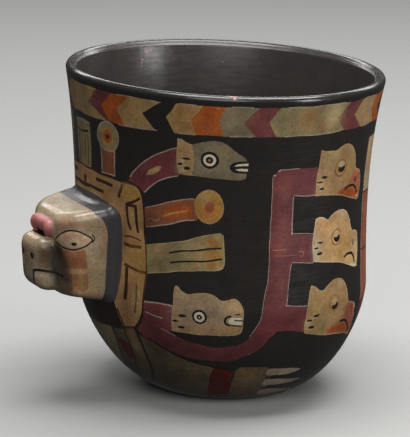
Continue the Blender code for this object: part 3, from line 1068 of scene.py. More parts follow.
def add_sheet_object(form, settings):
    """The painted outside of the cup as an open mesh."""

    def place(azimuth, height):
        return azimuth * MM_PER_DEGREE, form.arc_at(height * MM) / MM

    sheet = Sheet(place, OUTLINE_STEP)
    paint_wall(sheet)
    patches = []
    for patch in sheet.patches:
        patch = Patch(patch.colour, [hand_wobble(loop) for loop in patch.loops])
        patches.append(patch)
        for turn in (-2 * HALF_ROUND, 2 * HALF_ROUND):
            if patch.low[0] + turn < HALF_ROUND and patch.high[0] + turn > -HALF_ROUND:
                patches.append(patch.moved(turn))
    flat, triangles, owners = cut_sheet(patches, form.arc_at(form.wall_top) / MM)
    mesh = bpy.data.meshes.new(PIECE)
    mesh.from_pydata([form.on_wall(*place) for place in flat], [], triangles.tolist())
    ground_top = form.arc_at(LIP_STRIPE * MM) / MM
    names = []
    for owner, centre in zip(owners, flat[triangles].mean(axis=1)):
        ground = "lip" if centre[1] > ground_top else "black"
        names.append(patches[owner].colour if owner >= 0 else ground)
    corners = flat[triangles.ravel()]
    write_paint(mesh, names, settings, sheet.tints, corners)
    write_strip_map(mesh, corners, form)
    obj = bpy.data.objects.new(PIECE, mesh)
    bpy.context.scene.collection.objects.link(obj)
    return obj


LIP_STRIPE = 128.4


# Places on the flat map that keeps the paint: shares of the map's side
WALL_STRIP = (0.002, 0.402)
INSIDE_STRIP = (0.408, 0.598)
HEAD_STRIP = 0.604
HEAD_SCALE = 0.0079
END_SCALE = 0.0048
FOOT_SPOT = (0.93, 0.674)
FOOT_SCALE = 2.4


def write_strip_map(mesh, corners, form):
    """Lays the outside along the bottom of the map, at one scale both ways."""
    layer = mesh.uv_layers.new(name="OFBake")
    arc_top = form.arc_at(form.wall_top) / MM
    across = 0.001 + 0.998 * (corners[:, 0] / HALF_ROUND + 1) / 2
    up = WALL_STRIP[0] + (WALL_STRIP[1] - WALL_STRIP[0]) * corners[:, 1] / arc_top
    layer.uv.foreach_set("vector", np.stack([across, up], axis=1).astype(np.float32).ravel())


def add_ring_wall(name, rings):
    """A lathe-like wall: a circle extruded from ring to ring, then closed over the axis."""
    deselect()
    radius, height = rings[0]
    bpy.ops.mesh.primitive_circle_add(
        vertices=RING_POINTS, radius=radius, location=(0, 0, height), calc_uvs=False
    )
    obj = bpy.context.object
    obj.name = name
    bpy.ops.object.transform_apply()
    bpy.ops.object.mode_set(mode="EDIT")
    bpy.ops.mesh.select_all(action="SELECT")
    for (before, below), (after, above) in zip(rings, rings[1:]):
        bpy.ops.mesh.extrude_edges_move(TRANSFORM_OT_translate={"value": (0.0, 0.0, above - below)})
        bpy.ops.transform.resize(
            value=(after / before, after / before, 1.0), center_override=(0.0, 0.0, above)
        )
    bpy.ops.mesh.extrude_edges_move(TRANSFORM_OT_translate={"value": (0.0, 0.0, 0.0)})
    bpy.ops.mesh.merge(type="CENTER")
    bpy.ops.object.mode_set(mode="OBJECT")
    return obj


def lean_object(obj, form):
    for vert in obj.data.vertices:
        vert.co = form.lean(vert.co)


def add_liner(form, settings):
    """The lip and the inside, as one wall that closes over the floor."""
    rings = form.lip_points(LIP_STEPS) + form.inside_points(1.0, INSIDE_STEPS)
    obj = add_ring_wall("inside", rings)
    refine_flakes(obj, form)
    lip_low = form.wall_top - form.sizes.wall
    names = []
    for polygon in obj.data.polygons:
        out = math.hypot(polygon.center.x, polygon.center.y)
        outer = out > form.sizes.rim_radius - form.sizes.wall * 0.75
        ground = "lip" if outer and polygon.center.z > lip_low else "inside"
        names.append("flake" if flaked(polygon.center, 1.0) else ground)
    lean_object(obj, form)
    write_paint(obj.data, names, settings)
    write_turned_map(obj.data, INSIDE_STRIP, form.wall_top)
    return obj


def flaked(place, reach):
    """Whether a place of the inside or the lip has lost its slip. reach widens each flake."""
    azimuth = math.degrees(math.atan2(place.x, -place.y))
    for at_round, height, half_width, half_height in FLAKES:
        across = (azimuth - at_round) * MM_PER_DEGREE / half_width
        up = (place.z / MM - height) / half_height
        if across**2 + up**2 < reach**2:
            return True
    return False


# Losses on the inside and a nick in the lip: azimuth in degrees, height and half sizes in mm
FLAKES = (
    (-82.8, 128.3, 0.7, 0.4), (-81.2, 128.0, 0.9, 0.5), (-80.6, 127.2, 0.4, 0.4), (-78.9, 124.9, 0.7, 0.5),
    (-78.6, 123.6, 0.3, 0.4), (-78.4, 122.4, 0.5, 0.4), (-113.2, 123.5, 0.5, 0.25), (69.0, 131.9, 0.45, 0.7),
    (67.6, 132.35, 0.7, 0.16),
)
FLAKE_MARGIN = 3.5  # how far round a flake the faces are split, in sizes of the flake
JOINT_CLEAR = 0.0005  # left alone at the ring where the painted outside meets the lip


def refine_flakes(obj, form):
    """Splits the faces round each flake, and leaves alone the ring that the painted outside joins."""
    low = form.wall_top + JOINT_CLEAR
    lip_middle = form.sizes.rim_radius - form.sizes.wall / 2

    def wanted(face):
        joins = face.center.z < low and math.hypot(face.center.x, face.center.y) > lip_middle
        return not joins and flaked(face.center, FLAKE_MARGIN)

    select_faces(obj, wanted)
    bpy.ops.object.mode_set(mode="EDIT")
    bpy.ops.mesh.subdivide(number_cuts=7)
    bpy.ops.object.mode_set(mode="OBJECT")


def add_foot(form, settings):
    """The flat underside of the foot."""
    radius = form.sizes.foot_radius
    obj = add_ring_wall("foot", [(radius, 0.0), (radius * 0.6, 0.0)])
    write_paint(obj.data, ["foot"] * len(obj.data.polygons), settings)
    layer = obj.data.uv_layers.new(name="OFBake")
    values = []
    for loop in obj.data.loops:
        place = obj.data.vertices[loop.vertex_index].co
        values.extend((FOOT_SPOT[0] + place.x * FOOT_SCALE, FOOT_SPOT[1] + place.y * FOOT_SCALE))
    layer.uv.foreach_set("vector", values)
    return obj


def write_turned_map(mesh, strip, height):
    """Lays a turned wall along a strip of the map, by azimuth and height."""
    layer = mesh.uv_layers.new(name="OFBake")
    values = np.zeros((len(mesh.loops), 2), dtype=np.float32)
    for polygon in mesh.polygons:
        middle = polygon.center
        centre_turn = math.atan2(middle.x, -middle.y)
        for index in polygon.loop_indices:
            place = mesh.vertices[mesh.loops[index].vertex_index].co
            radius = math.hypot(place.x, place.y)
            turn = math.atan2(place.x, -place.y) if radius > 1e-5 else centre_turn
            turn += math.tau * round((centre_turn - turn) / math.tau)
            share = (max(place.z, 0.0) + radius * 0.5) / (height + 0.036)
            across = 0.004 + 0.992 * (turn / math.tau + 0.5)
            values[index] = (across, strip[0] + (strip[1] - strip[0]) * share)
    layer.uv.foreach_set("vector", values.ravel())


# The head


def add_block(name, root_y, face_y, root, face, undercut, roundings):
    """A tapered block along Y with rounded edges.

    root and face are each (low half width, high half width, bottom, top).
    """
    deselect()
    bpy.ops.mesh.primitive_cube_add(size=2.0, calc_uvs=False)
    obj = bpy.context.object
    obj.name = name
    for vert in obj.data.vertices:
        side, along, up = vert.co
        low_width, high_width, low, high = root if along > 0 else face
        front = face_y if up > 0 else face_y + undercut
        width = high_width if up > 0 else low_width
        vert.co = (side * width, root_y if along > 0 else front, high if up > 0 else low)
    select_faces(obj, lambda face: face.normal.y > 0.9)
    bpy.ops.object.mode_set(mode="EDIT")
    bpy.ops.mesh.extrude_region_move(TRANSFORM_OT_translate={"value": (0.0, root_y - face_y, 0.0)})
    bpy.ops.object.mode_set(mode="OBJECT")
    for wanted, radius, segments in roundings:
        select_edges(obj, wanted)
        bpy.ops.object.mode_set(mode="EDIT")
        bpy.ops.mesh.bevel(
            offset=radius, offset_type="OFFSET", segments=segments, profile=0.5, affect="EDGES"
        )
        bpy.ops.object.mode_set(mode="OBJECT")
    return obj


def select_faces(obj, wanted):
    choose(obj)
    for edge in obj.data.edges:
        edge.select = False
    for vert in obj.data.vertices:
        vert.select = False
    for polygon in obj.data.polygons:
        polygon.select = wanted(polygon)
    bpy.context.tool_settings.mesh_select_mode = (False, False, True)


def select_edges(obj, wanted):
    choose(obj)
    mesh = bmesh.new()
    mesh.from_mesh(obj.data)
    chosen = {edge.index for edge in mesh.edges if wanted(edge)}
    mesh.free()
    for polygon in obj.data.polygons:
        polygon.select = False
    for vert in obj.data.vertices:
        vert.select = False
    for edge in obj.data.edges:
        edge.select = edge.index in chosen
        if edge.select:
            for index in edge.vertices:
                obj.data.vertices[index].select = True
    bpy.context.tool_settings.mesh_select_mode = (False, True, False)


def sharp_before(root_y):
    """Edges with a real corner that aren't wholly behind root_y."""

    def wanted(edge):
        buried = all(vert.co.y > root_y + 1e-5 for vert in edge.verts)
        return not buried and edge.calc_face_angle(0.0) > math.radians(40)

    return wanted


def upright_at(face_y):
    def wanted(edge):
        first, last = (vert.co for vert in edge.verts)
        at_front = abs(first.y - face_y) < 1e-5 and abs(last.y - face_y) < 1e-5
        return at_front and abs(first.z - last.z) > abs(first.x - last.x)

    return wanted


LOBE_RADII = (0.0026, 0.0024, 0.0034)  # the comb's soft ends
LOBE_ASIDE = 0.0068
VOXEL = 0.00042
HEAD_AXIS_Y = -64.0
HEAD_ROUND = 20.0


def model_head(form, head):
    """Block, beak and comb, fused and softened, its root drawn onto the wall; the caller trims it to the middle
    of the wall.
    """
    middle = (head.top + head.bottom) / 2
    root_y = form.wall_front(middle)
    face_y = root_y - head.reach
    skull = add_block(
        "skull",
        root_y,
        face_y,
        (head.jaw_half_width, head.root_half_width, head.bottom, head.top),
        (head.face_half_width, head.face_half_width, head.face_bottom, head.face_top),
        0.0,
        [(upright_at(face_y), head.cheek_round, 10), (sharp_before(root_y), head.edge_round, 6)],
    )
    half_reach = face_y + head.reach / 2
    beak = add_block(
        "beak",
        half_reach,
        face_y - head.beak_reach,
        (head.beak_root, head.beak_root, head.beak_bottom, head.beak_top),
        (head.beak_tip, head.beak_tip, head.beak_bottom, head.beak_top),
        head.beak_undercut,
        [(sharp_before(half_reach), head.beak_round + 0.0010, 8)],
    )
    comb_low = head.comb_top - head.comb_thickness
    comb = add_block(
        "comb",
        half_reach,
        face_y - head.comb_reach + 0.0008,
        (head.comb_root, head.comb_root, comb_low - 0.0012, head.comb_top - 0.0010),
        (head.comb_tip, head.comb_tip, comb_low - 0.0022, head.comb_top - 0.0020),
        0.0,
        [(sharp_before(half_reach), head.comb_round, 4)],
    )
    parts = [beak, comb]
    for side in (-1, 1):
        deselect()
        bpy.ops.mesh.primitive_uv_sphere_add(radius=1.0, segments=24, ring_count=16, calc_uvs=False)
        lobe = bpy.context.object
        lobe.scale = LOBE_RADII
        lobe.location = (side * LOBE_ASIDE, face_y - 0.0010, comb_low - 0.0002)
        bpy.ops.object.transform_apply()
        parts.append(lobe)
    for part in parts:
        apply_modifier(skull, "BOOLEAN", operation="UNION", solver="EXACT", object=part)
        bpy.data.objects.remove(part, do_unlink=True)
    apply_modifier(skull, "REMESH", mode="VOXEL", voxel_size=VOXEL, adaptivity=0.0, use_smooth_shade=True)
    apply_modifier(skull, "SMOOTH", factor=0.5, iterations=14)
    flare_root(skull, form)
    return skull


def flare_root(head, form):
    """Draws the head's root out onto the wall, as a thumb smooths the joint."""
    middle = form.sizes.height / 2 - HEAD_BELOW_MIDDLE
    for vert in head.data.vertices:
        place = vert.co
        clear = math.hypot(place.x, place.y + form.shift(place.z)) - form.radius(place.z)
        amount = min(max(1.0 - clear / FLARE_REACH, 0.0), 1.3) ** 2 * FLARE
        if amount > 0.0:
            away = Vector((place.x, 0.0, place.z - middle)).normalized()
            vert.co = place + away * amount
    head.data.update()


FLARE = 0.0011
FLARE_REACH = 0.0026
HEAD_BELOW_MIDDLE = 0.003


def head_place(points):
    """Where points of the head lie on its own flat sheet: round from the beak in mm, and height in mm."""
    points = np.asarray(points) / MM
    turn = np.arctan2(np.abs(points[:, 0]), -(points[:, 1] - HEAD_AXIS_Y))
    return np.stack([turn * HEAD_ROUND, points[:, 2]], axis=1)


def paint_head():
    """The paint on one side of the head, which the other side mirrors, with painted shade beside the beak."""

    def place(across, height):
        return across, height

    sheet = Sheet(place, 0.4)
    # Painted shade: a grey stripe in the hollow between the beak and the cheek
    sheet.fill("smudge", [
        (9.7, 66.2), (14.8, 66.4), (17.2, 61.6), (18.8, 57.4), (19.4, 49.4), (14.8, 49.0), (11.8, 55),
        (10.2, 60),
    ])
    sheet.fill("patch", [
        (16.2, 65.6), (20, 65.2), (24.2, 65.8), (25.0, 61.6), (25.4, 58.3, C), (18.6, 58.5, C),
        (17.2, 61.6),
    ])
    sheet.fill("patch", [
        (19, 56.3, C), (25.4, 56.1, C), (25.8, 53), (25.4, 49.4), (20.8, 49.8), (19.8, 53),
    ])
    sheet.fill("stripe", [(21.4, 56.0, C), (23.4, 55.8, C), (23.8, 50.0), (22.2, 50.0)])
    eye = [
        (11.9, 69.3), (13.4, 71.4), (15.4, 72.9), (18.4, 74.1),
        (21.4, 73.9), (24.4, 72.5), (27.2, 70.3), (25.4, 68.2),
        (22.8, 67), (19.8, 66.3), (16.6, 66.7), (13.8, 67.8),
    ]
    sheet.fill("eye", eye, edge="line", edge_width=0.65)
    sheet.oval("line", (20.1, 68.7), (1.1, 0.75))
    sheet.line("line", [(27.0, 72.6), (28.0, 71.2), (28.0, 70.0), (27.2, 69.4)], 0.5)
    sheet.oval("line", (3.9, 62.0), (1.35, 1.35))
    sheet.oval("smudge", (3.9, 62.0), (0.45, 0.45))
    sheet.oval("line", (5.0, 65.8), (0.3, 0.3))
    sheet.tint("white", (8.6, 54.6), (4.0, 0.9), 0.5)
    sheet.line("line", [
        (4.2, 50.7), (4.4, 56.0, C), (6.8, 56.8), (9.8, 56.5), (12.6, 55.6), (15.6, 54.4),
    ], 1.1)
    # Painted shade: grey clouds that soften the stripe in the hollow beside the beak
    for centre, radii, strength in (
        ((12.2, 66.2), (2.8, 2.6), 1.0), ((12.9, 63.0), (3.6, 3.4), 1.0), ((14.0, 59.5), (4.2, 3.6), 1.0),
        ((15.2, 55.5), (4.2, 3.8), 1.0), ((16.4, 50.5), (3.8, 4.2), 1.0),
    ):
        sheet.tint("smudge", centre, radii, strength)
    for centre in ((9.6, 64.5), (10.4, 60.5), (11.8, 56.5), (13.4, 52.5)):
        sheet.tint("smudge", centre, (1.8, 3.2), 0.85)
    # Painted shade: brown clouds in the crease where the beak meets the cheek
    for height in (66.0, 60.0):
        sheet.tint("crease_shade", (8.6, height), (1.6, 3.6), 0.6)
    sheet.tint_each(
        ("patch", (21.0, 61.6), (5.0, 4.6), 0.55), ("blush", (19.6, 64.6), (2.6, 1.6), 0.6),
        ("rust", (22.6, 61.0), (1.6, 2.8), 0.75), ("smudge", (24.6, 60.0), (1.2, 3.0), 0.35),
        ("patch", (22.8, 53.4), (4.4, 4.2), 0.5), ("ochre", (22.0, 57.3), (4.0, 1.2), 0.5),
    )
    for centre, radii, strength in (
        ((15.6, 76.2), (2.4, 1.5), 0.75), ((18.6, 77.0), (2.4, 1.2), 0.6), ((23.2, 76.4), (2.0, 1.0), 0.6),
        ((17.2, 71.2), (2.0, 1.2), 0.75), ((21.2, 72.4), (2.4, 0.9), 0.6), ((24.0, 69.8), (1.4, 0.9), 0.5),
        ((31.8, 71.0), (1.0, 9.0), 0.5), ((0.6, 61.0), (2.2, 6.0), 0.4),
    ):
        sheet.tint("blush", centre, radii, strength)
    sheet.tint_each(
        ("olive", (29.6, 57.0), (3.6, 9.0), 0.6), ("olive", (27.6, 76.0), (3.4, 2.6), 0.4),
        ("grey", (12.8, 74.6), (1.8, 3.4), 0.45), ("ochre", (24.0, 47.6), (9.0, 3.4), 0.5),
    )
    return sheet


def head_colours(points, patches):
    """Which slip each point of the head has, as an index: patches first, then the plain areas."""
    millimetres = np.asarray(points) / MM
    flat = head_place(points)
    owners = np.full(len(points), len(patches))
    for index, patch in enumerate(patches):
        owners[patch.covers(flat)] = index
    across, along, up = np.abs(millimetres[:, 0]), millimetres[:, 1], millimetres[:, 2]
    # Painted shade: the face under the comb's overhang is coloured dark
    shade_under_comb = (along < -79.6) & (up > 69.75) & (up < 72.6) & (across < 6.6)
    owners[shade_under_comb] = len(patches) + 2
    ledge = (along < -80.4 - 0.14 * (up - 74)) & (up >= 71.4) & (up < 78.6) & (across < 8.2)
    lobe = ((across - 6.8) / 3.3) ** 2 + ((along + 82.6) / 3.2) ** 2 + ((up - 73.2) / 3.9) ** 2 < 1.0
    owners[ledge | (lobe & (up > 69.9))] = len(patches) + 3
    band_edge = -62.2 - 4.0 * np.clip((up - 71.5) / 9.0, 0.0, 1.0) ** 2 - 0.6 * np.clip((50 - up) / 6, 0, 1)
    band_edge -= 1.6 * np.clip((up - 79.4) / 2.0, 0.0, 1.0)
    owners[along > band_edge] = len(patches) + 1
    return owners


# Colours of the plain areas, in the order head_colours counts them; notch is painted shade under the comb
HEAD_PLAIN = ("face", "band", "notch", "comb")


def cut_along_paint(obj, patches):
    """Splits the head's faces where the slip changes, so that the painted edges are crisp."""
    mesh = bmesh.new()
    mesh.from_mesh(obj.data)
    places = np.array([vert.co[:] for vert in mesh.verts])
    owners = head_colours(places, patches)
    mesh.verts.ensure_lookup_table()
    crossing = [edge for edge in mesh.edges if owners[edge.verts[0].index] != owners[edge.verts[1].index]]
    starts = np.array([edge.verts[0].co[:] for edge in crossing])
    ends = np.array([edge.verts[1].co[:] for edge in crossing])
    start_owners = owners[[edge.verts[0].index for edge in crossing]]
    low = np.zeros(len(crossing))
    high = np.ones(len(crossing))
    for halving in range(7):
        middle = (low + high) / 2
        same = head_colours(starts + (ends - starts) * middle[:, None], patches) == start_owners
        low = np.where(same, middle, low)
        high = np.where(same, high, middle)
    shares = np.clip((low + high) / 2, 0.04, 0.96)
    added = set()
    for edge, share in zip(crossing, shares):
        made = bmesh.utils.edge_split(edge, edge.verts[0], float(share))[1]
        added.add(made)
    for face in list(mesh.faces):
        cuts = [vert for vert in face.verts if vert in added]
        if len(cuts) == 2:
            bmesh.utils.face_split(face, cuts[0], cuts[1])
        elif len(cuts) == 4:
            other = bmesh.utils.face_split(face, cuts[0], cuts[1])[0]
            for part in (face, other):
                if part.is_valid and cuts[2] in part.verts and cuts[3] in part.verts:
                    bmesh.utils.face_split(part, cuts[2], cuts[3])
    bmesh.ops.triangulate(mesh, faces=[face for face in mesh.faces if len(face.verts) > 4])
    mesh.to_mesh(obj.data)
    mesh.free()


def press_details(obj):
    """Lets the eyes swell, and hollows the nostrils and the cheeks beside the beak."""
    count = len(obj.data.vertices)
    places = np.zeros(count * 3, dtype=np.float32)
    normals = np.zeros(count * 3, dtype=np.float32)
    obj.data.vertices.foreach_get("co", places)
    obj.data.vertex_normals.foreach_get("vector", normals)
    places = places.reshape(-1, 3)
    across, up = head_place(places).T
    swell = np.clip(1.0 - ((across - 19.4) / 7.4) ** 2 - ((up - 70.2) / 3.7) ** 2, 0.0, 1.0) ** 0.7
    pit = np.exp(-(((across - 3.9) ** 2 + (up - 62.0) ** 2) / 1.3))
    lean_across = 13.8 + (60.0 - up) * 0.25
    hollow = np.exp(-(((across - lean_across) / 2.4) ** 2))
    hollow *= np.clip((up - 47) / 6, 0, 1) * np.clip((68 - up) / 6, 0, 1)
    depth = (0.35 * swell - 0.5 * pit - 0.8 * hollow) * (places[:, 1] < -0.0625)
    places += normals.reshape(-1, 3) * depth[:, None].astype(np.float32) * MM
    obj.data.vertices.foreach_set("co", places.ravel())
    obj.data.update()


# Places on the map for the head's level faces: whether they face up, the least height in mm, then column, row
# and front in mm
END_SPOTS = (
    (True, 75, 0.67, 0.06, -86.0), (True, 0, 0.84, 0.02, -90.0),
    (False, 71, 0.84, 0.16, -90.0), (False, 0, 0.67, 0.23, -90.0),
)
LEVEL_FACING = 0.72


def write_head_map(mesh):
    """Unrolls the head's sides over the top of the map; tops and undersides have places of their own."""
    layer = mesh.uv_layers.new(name="OFBake")
    values = np.zeros((len(mesh.loops), 2), dtype=np.float32)
    for polygon in mesh.polygons:
        middle = polygon.center / MM
        facing = polygon.normal.z
        for index in polygon.loop_indices:
            place = mesh.vertices[mesh.loops[index].vertex_index].co / MM
            if abs(facing) < LEVEL_FACING:
                turn = math.atan2(place.x, -(place.y - HEAD_AXIS_Y)) * HEAD_ROUND
                spot = (0.30 + turn * HEAD_SCALE, HEAD_STRIP + 0.03 + (place.z - 43.0) * HEAD_SCALE)
            else:
                found = (end for end in END_SPOTS if end[0] == (facing > 0) and end[1] < middle.z)
                column, row, front = next(found)[2:]
                spot = (column + place.x * END_SCALE, HEAD_STRIP + row + (place.y - front) * END_SCALE)
            values[index] = spot
    layer.uv.foreach_set("vector", values.ravel())


# Materials


def add_node(tree, kind, settings=None, links=None):
    """Adds a node. settings are input values and properties by name; links maps inputs to (node, output)."""
    node = tree.nodes.new(kind)
    for name, value in (settings or {}).items():
        if name in node.inputs:
            node.inputs[name].default_value = value
        else:
            setattr(node, name, value)
    for name, (source, output) in (links or {}).items():
        tree.links.new(source.outputs[output], node.inputs[name])
    return node


MIX_A, MIX_B, MIX_RESULT = 6, 7, 2  # the Mix node's colour sockets, which share their names with others
WARM_STAIN = (1.0, 0.80, 0.58, 1.0)
CLAY_IOR = 1.5


def burnished_slip():
    """Earthenware painted with coloured slips and burnished with a pebble before firing.

    It is clay, so it has no metal and an ordinary gloss. Burnishing leaves a satin shine with faint level
    strokes about 1 mm high. The coloured slips are mottled over 5 to 15 mm, speckled over 1 mm and finely
    crackled, about 2 mm across.
    """
    material = bpy.data.materials.new("earthenware, burnished coloured slips")
    material.use_nodes = True
    tree = material.node_tree
    shader = tree.nodes["Principled BSDF"]
    shader.inputs["IOR"].default_value = CLAY_IOR
    place = add_node(tree, "ShaderNodeTexCoord")
    paint = add_node(tree, "ShaderNodeAttribute", {"attribute_name": "slip"})
    polish = add_node(tree, "ShaderNodeAttribute", {"attribute_name": "polish"})
    scaled = []
    for scale in ((1 / MM, 1 / MM, 1 / MM), (110.0, 110.0, 900.0)):
        mapping = add_node(tree, "ShaderNodeMapping", {"Scale": scale}, {"Vector": (place, "Object")})
        scaled.append({"Vector": (mapping, "Vector")})
    evenly, levelled = scaled
    clouds, warmth, grain, rubbing = (
        add_node(tree, "ShaderNodeTexNoise", settings, links)
        for settings, links in (
            ({"Scale": 0.11, "Detail": 5.0, "Roughness": 0.62}, evenly),
            ({"Scale": 0.17, "Detail": 3.0, "Distortion": 0.6}, evenly),
            ({"Scale": 0.9, "Detail": 5.0, "Roughness": 0.7}, evenly),
            ({"Scale": 1.0, "Detail": 2.0}, levelled),
        )
    )
    crackle = add_node(tree, "ShaderNodeTexVoronoi", {"feature": "DISTANCE_TO_EDGE", "Scale": 0.55}, evenly)
    dark, speckle, warm, crack, rubbed, clouded = (
        (
            add_node(
                tree, "ShaderNodeMapRange",
                {"From Min": low, "From Max": high, "To Min": least, "To Max": most},
                {"Value": (source, output)},
            ),
            "Result",
        )
        for source, output, low, high, least, most in (
            (clouds, "Fac", 0.33, 0.68, 0.64, 1.28),
            (grain, "Fac", 0.3, 0.7, 0.66, 1.30),
            (warmth, "Fac", 0.52, 0.72, 0.0, 0.5),
            (crackle, "Distance", 0.0, 0.05, 0.82, 1.0),
            (rubbing, "Fac", 0.3, 0.7, -0.06, 0.07),
            (warmth, "Fac", 0.3, 0.7, -0.04, 0.06),
        )
    )
    multiply = {"operation": "MULTIPLY"}
    tone = add_node(tree, "ShaderNodeMath", multiply, {0: dark, 1: speckle})
    stain = add_node(tree, "ShaderNodeMath", multiply, {0: warm, 1: (paint, "Alpha")})
    shade = {"data_type": "RGBA", "blend_type": "MULTIPLY"}
    varied = (paint, "Alpha")
    toned = add_node(
        tree, "ShaderNodeMix", shade, {"Factor": varied, MIX_A: (paint, "Color"), MIX_B: (tone, 0)}
    )
    warmed = add_node(tree, "ShaderNodeMix", shade, {"Factor": (stain, 0), MIX_A: (toned, MIX_RESULT)})
    warmed.inputs[MIX_B].default_value = WARM_STAIN
    cracked = add_node(
        tree, "ShaderNodeMix", shade, {"Factor": varied, MIX_A: (warmed, MIX_RESULT), MIX_B: crack}
    )
    change = add_node(tree, "ShaderNodeMath", {"operation": "ADD"}, {0: rubbed, 1: clouded})
    roughness = add_node(
        tree, "ShaderNodeMath", {"operation": "ADD", "use_clamp": True}, {0: (polish, "Fac"), 1: (change, 0)}
    )
    bump = {}
    reliefs = ((0.3, 0.00005, grain), (0.4, 0.00006, rubbing), (0.4, 0.00020, clouds))
    for strength, distance, source in reliefs:
        settings = {"Strength": strength, "Distance": distance}
        relief = add_node(tree, "ShaderNodeBump", settings, {"Height": (source, "Fac"), **bump})
        bump = {"Normal": (relief, "Normal")}
    tree.links.new(cracked.outputs[MIX_RESULT], shader.inputs["Base Color"])
    tree.links.new(roughness.outputs[0], shader.inputs["Roughness"])
    tree.links.new(relief.outputs["Normal"], shader.inputs["Normal"])
    return material


def pale_backdrop():
    """Matt paper: pale grey, with no pattern."""
    material = bpy.data.materials.new("backdrop paper, matt")
    material.use_nodes = True
    shader = material.node_tree.nodes["Principled BSDF"]
    shader.inputs["Base Color"].default_value = (*linear("a0a09e"), 1.0)
    shader.inputs["Roughness"].default_value = 0.9
    return material


# Operators


class EFFIGY_OT_cup(bpy.types.Operator):
    """Model, paint and join the cup and its head"""

    bl_idname = "effigy.cup"
    bl_label = "Effigy cup"

    def execute(self, context):
        settings = context.scene.effigy_cup
        form = CupForm(settings.cup)
        cup = add_sheet_object(form, settings)
        liner = add_liner(form, settings)
        foot = add_foot(form, settings)
        material = burnished_slip()
        for obj in (cup, liner, foot):
            obj.data.materials.append(material)
        choose(cup, liner, foot)
        bpy.ops.object.join()
        bpy.ops.object.mode_set(mode="EDIT")
        bpy.ops.mesh.select_all(action="SELECT")
        bpy.ops.mesh.remove_doubles(threshold=0.00001)
        bpy.ops.mesh.normals_make_consistent(inside=False)
        bpy.ops.object.mode_set(mode="OBJECT")
        head = model_head(form, settings.head)
        trim_to_wall(head, form)
        sheet = paint_head()
        patches = sheet.patches
        press_details(head)
        cut_along_paint(head, patches)
        centres = np.array([polygon.center[:] for polygon in head.data.polygons])
        palette = [patch.colour for patch in patches] + list(HEAD_PLAIN)
        names = [palette[owner] for owner in head_colours(centres, patches)]
        corners = np.array([head.data.vertices[loop.vertex_index].co[:] for loop in head.data.loops])
        write_paint(head.data, names, settings, sheet.tints, head_place(corners))
        write_head_map(head.data)
        head.data.materials.append(material)
        apply_modifier(cup, "BOOLEAN", operation="UNION", solver="EXACT", object=head)
        bpy.data.objects.remove(head, do_unlink=True)
        if not cup.data.polygons:
            raise RuntimeError("the head and the cup did not join")
        choose(cup)
        bpy.ops.object.shade_smooth()
        cup.data.set_sharp_from_angle(angle=math.radians(38))
        even_wall_normals(cup, form)
        cup.name = PIECE
        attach(cup, "root")
        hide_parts(NODE)
        return {"FINISHED"}


def trim_to_wall(head, form):
    """Takes off what would show inside the cup: the head ends in the middle of the wall."""
    rings = [(0.0001, form.sizes.height)] + form.inside_points(0.5, INSIDE_STEPS)
    rings.insert(1, (rings[1][0], form.sizes.height))
    core = add_ring_wall("core", rings)
    choose(core)
    bpy.ops.object.mode_set(mode="EDIT")
    bpy.ops.mesh.select_all(action="SELECT")
    bpy.ops.mesh.fill_holes(sides=0)
    bpy.ops.mesh.normals_make_consistent(inside=False)
    bpy.ops.object.mode_set(mode="OBJECT")
    lean_object(core, form)
    apply_modifier(head, "BOOLEAN", operation="DIFFERENCE", solver="EXACT", object=core)
    bpy.data.objects.remove(core, do_unlink=True)


FOOT_CLEAR = 0.002
ON_WALL = 0.00003


def even_wall_normals(obj, form):
    """Gives the outside the true wall's normals, so that its uneven triangles don't show in the gloss."""
    mesh = obj.data
    normals = np.zeros((len(mesh.vertices), 3), dtype=np.float32)
    for vert in mesh.vertices:
        place = vert.co
        if not FOOT_CLEAR < place.z <= form.wall_top:
            continue
        height = place.z
        for guess in range(3):
            shift = form.shift(height)
            height = place.z + (place.y + shift) * form.tilt(height)
        if height > form.wall_top - JOINT_CLEAR:
            continue
        radius = form.radius(height)
        if abs(math.hypot(place.x, place.y + shift) - radius) < ON_WALL:
            slope = (form.radius(height + PROBE) - form.radius(height)) / PROBE
            outward = Vector((place.x / radius, (place.y + shift) / radius, -slope)).normalized()
            if outward.dot(vert.normal) > 0.97:
                normals[vert.index] = outward
    mesh.normals_split_custom_set_from_vertices(normals.tolist())


class EFFIGY_OT_studio(bpy.types.Operator):
    """Set the pale floor, the soft lights and the camera"""

    bl_idname = "effigy.studio"
    bl_label = "Studio"

    def execute(self, context):
        studio = context.scene.effigy_cup.studio
        add_floor(studio)
        add_lights()
        add_camera(studio)
        return {"FINISHED"}


def add_floor(studio):
    deselect()
    bpy.ops.mesh.primitive_plane_add(size=studio.floor_size)
    floor = bpy.context.object
    floor.name = "floor"
    floor.data.materials.append(pale_backdrop())
    # The floor takes the cup's shadow but isn't seen in its gloss and throws no light up at it
    floor.visible_glossy = False
    floor.visible_diffuse = False


# Area lights: name, place, aim, sides and power in watts
LIGHTS = (
    ("overhead softbox", (0.0, 0.10, 0.9), (0.0, 0.0, 0.09), (0.4, 0.95), 13.0),
    ("front fill", (1.15, -0.55, 0.95), (0.0, 0.0, 0.08), (1.0, 1.0), 10.0),
    ("right strip", (0.95, 0.74, 0.36), (0.0, 0.0, 0.08), (0.3, 0.68), 6.0),
    ("back strip", (-0.80, 0.36, 0.62), (0.0, 0.0, 0.10), (1.5, 0.16), 5.0),
)
WORLD_LIGHT = 0.07


def add_lights():
    for name, place, aim, size, power in LIGHTS:
        light = bpy.data.lights.new(name, "AREA")
        light.shape = "RECTANGLE"
        light.size, light.size_y = size
        light.energy = power
        lamp = bpy.data.objects.new(name, light)
        lamp.location = place
        lamp.rotation_euler = (Vector(aim) - Vector(place)).to_track_quat("-Z", "Y").to_euler()
        bpy.context.scene.collection.objects.link(lamp)
    world = bpy.data.worlds.new("studio")
    world.use_nodes = True
    world.node_tree.nodes["Background"].inputs["Color"].default_value = (*linear("e6e8ea"), 1.0)
    world.node_tree.nodes["Background"].inputs["Strength"].default_value = WORLD_LIGHT
    bpy.context.scene.world = world
    bpy.context.scene.view_settings.view_transform = "Standard"


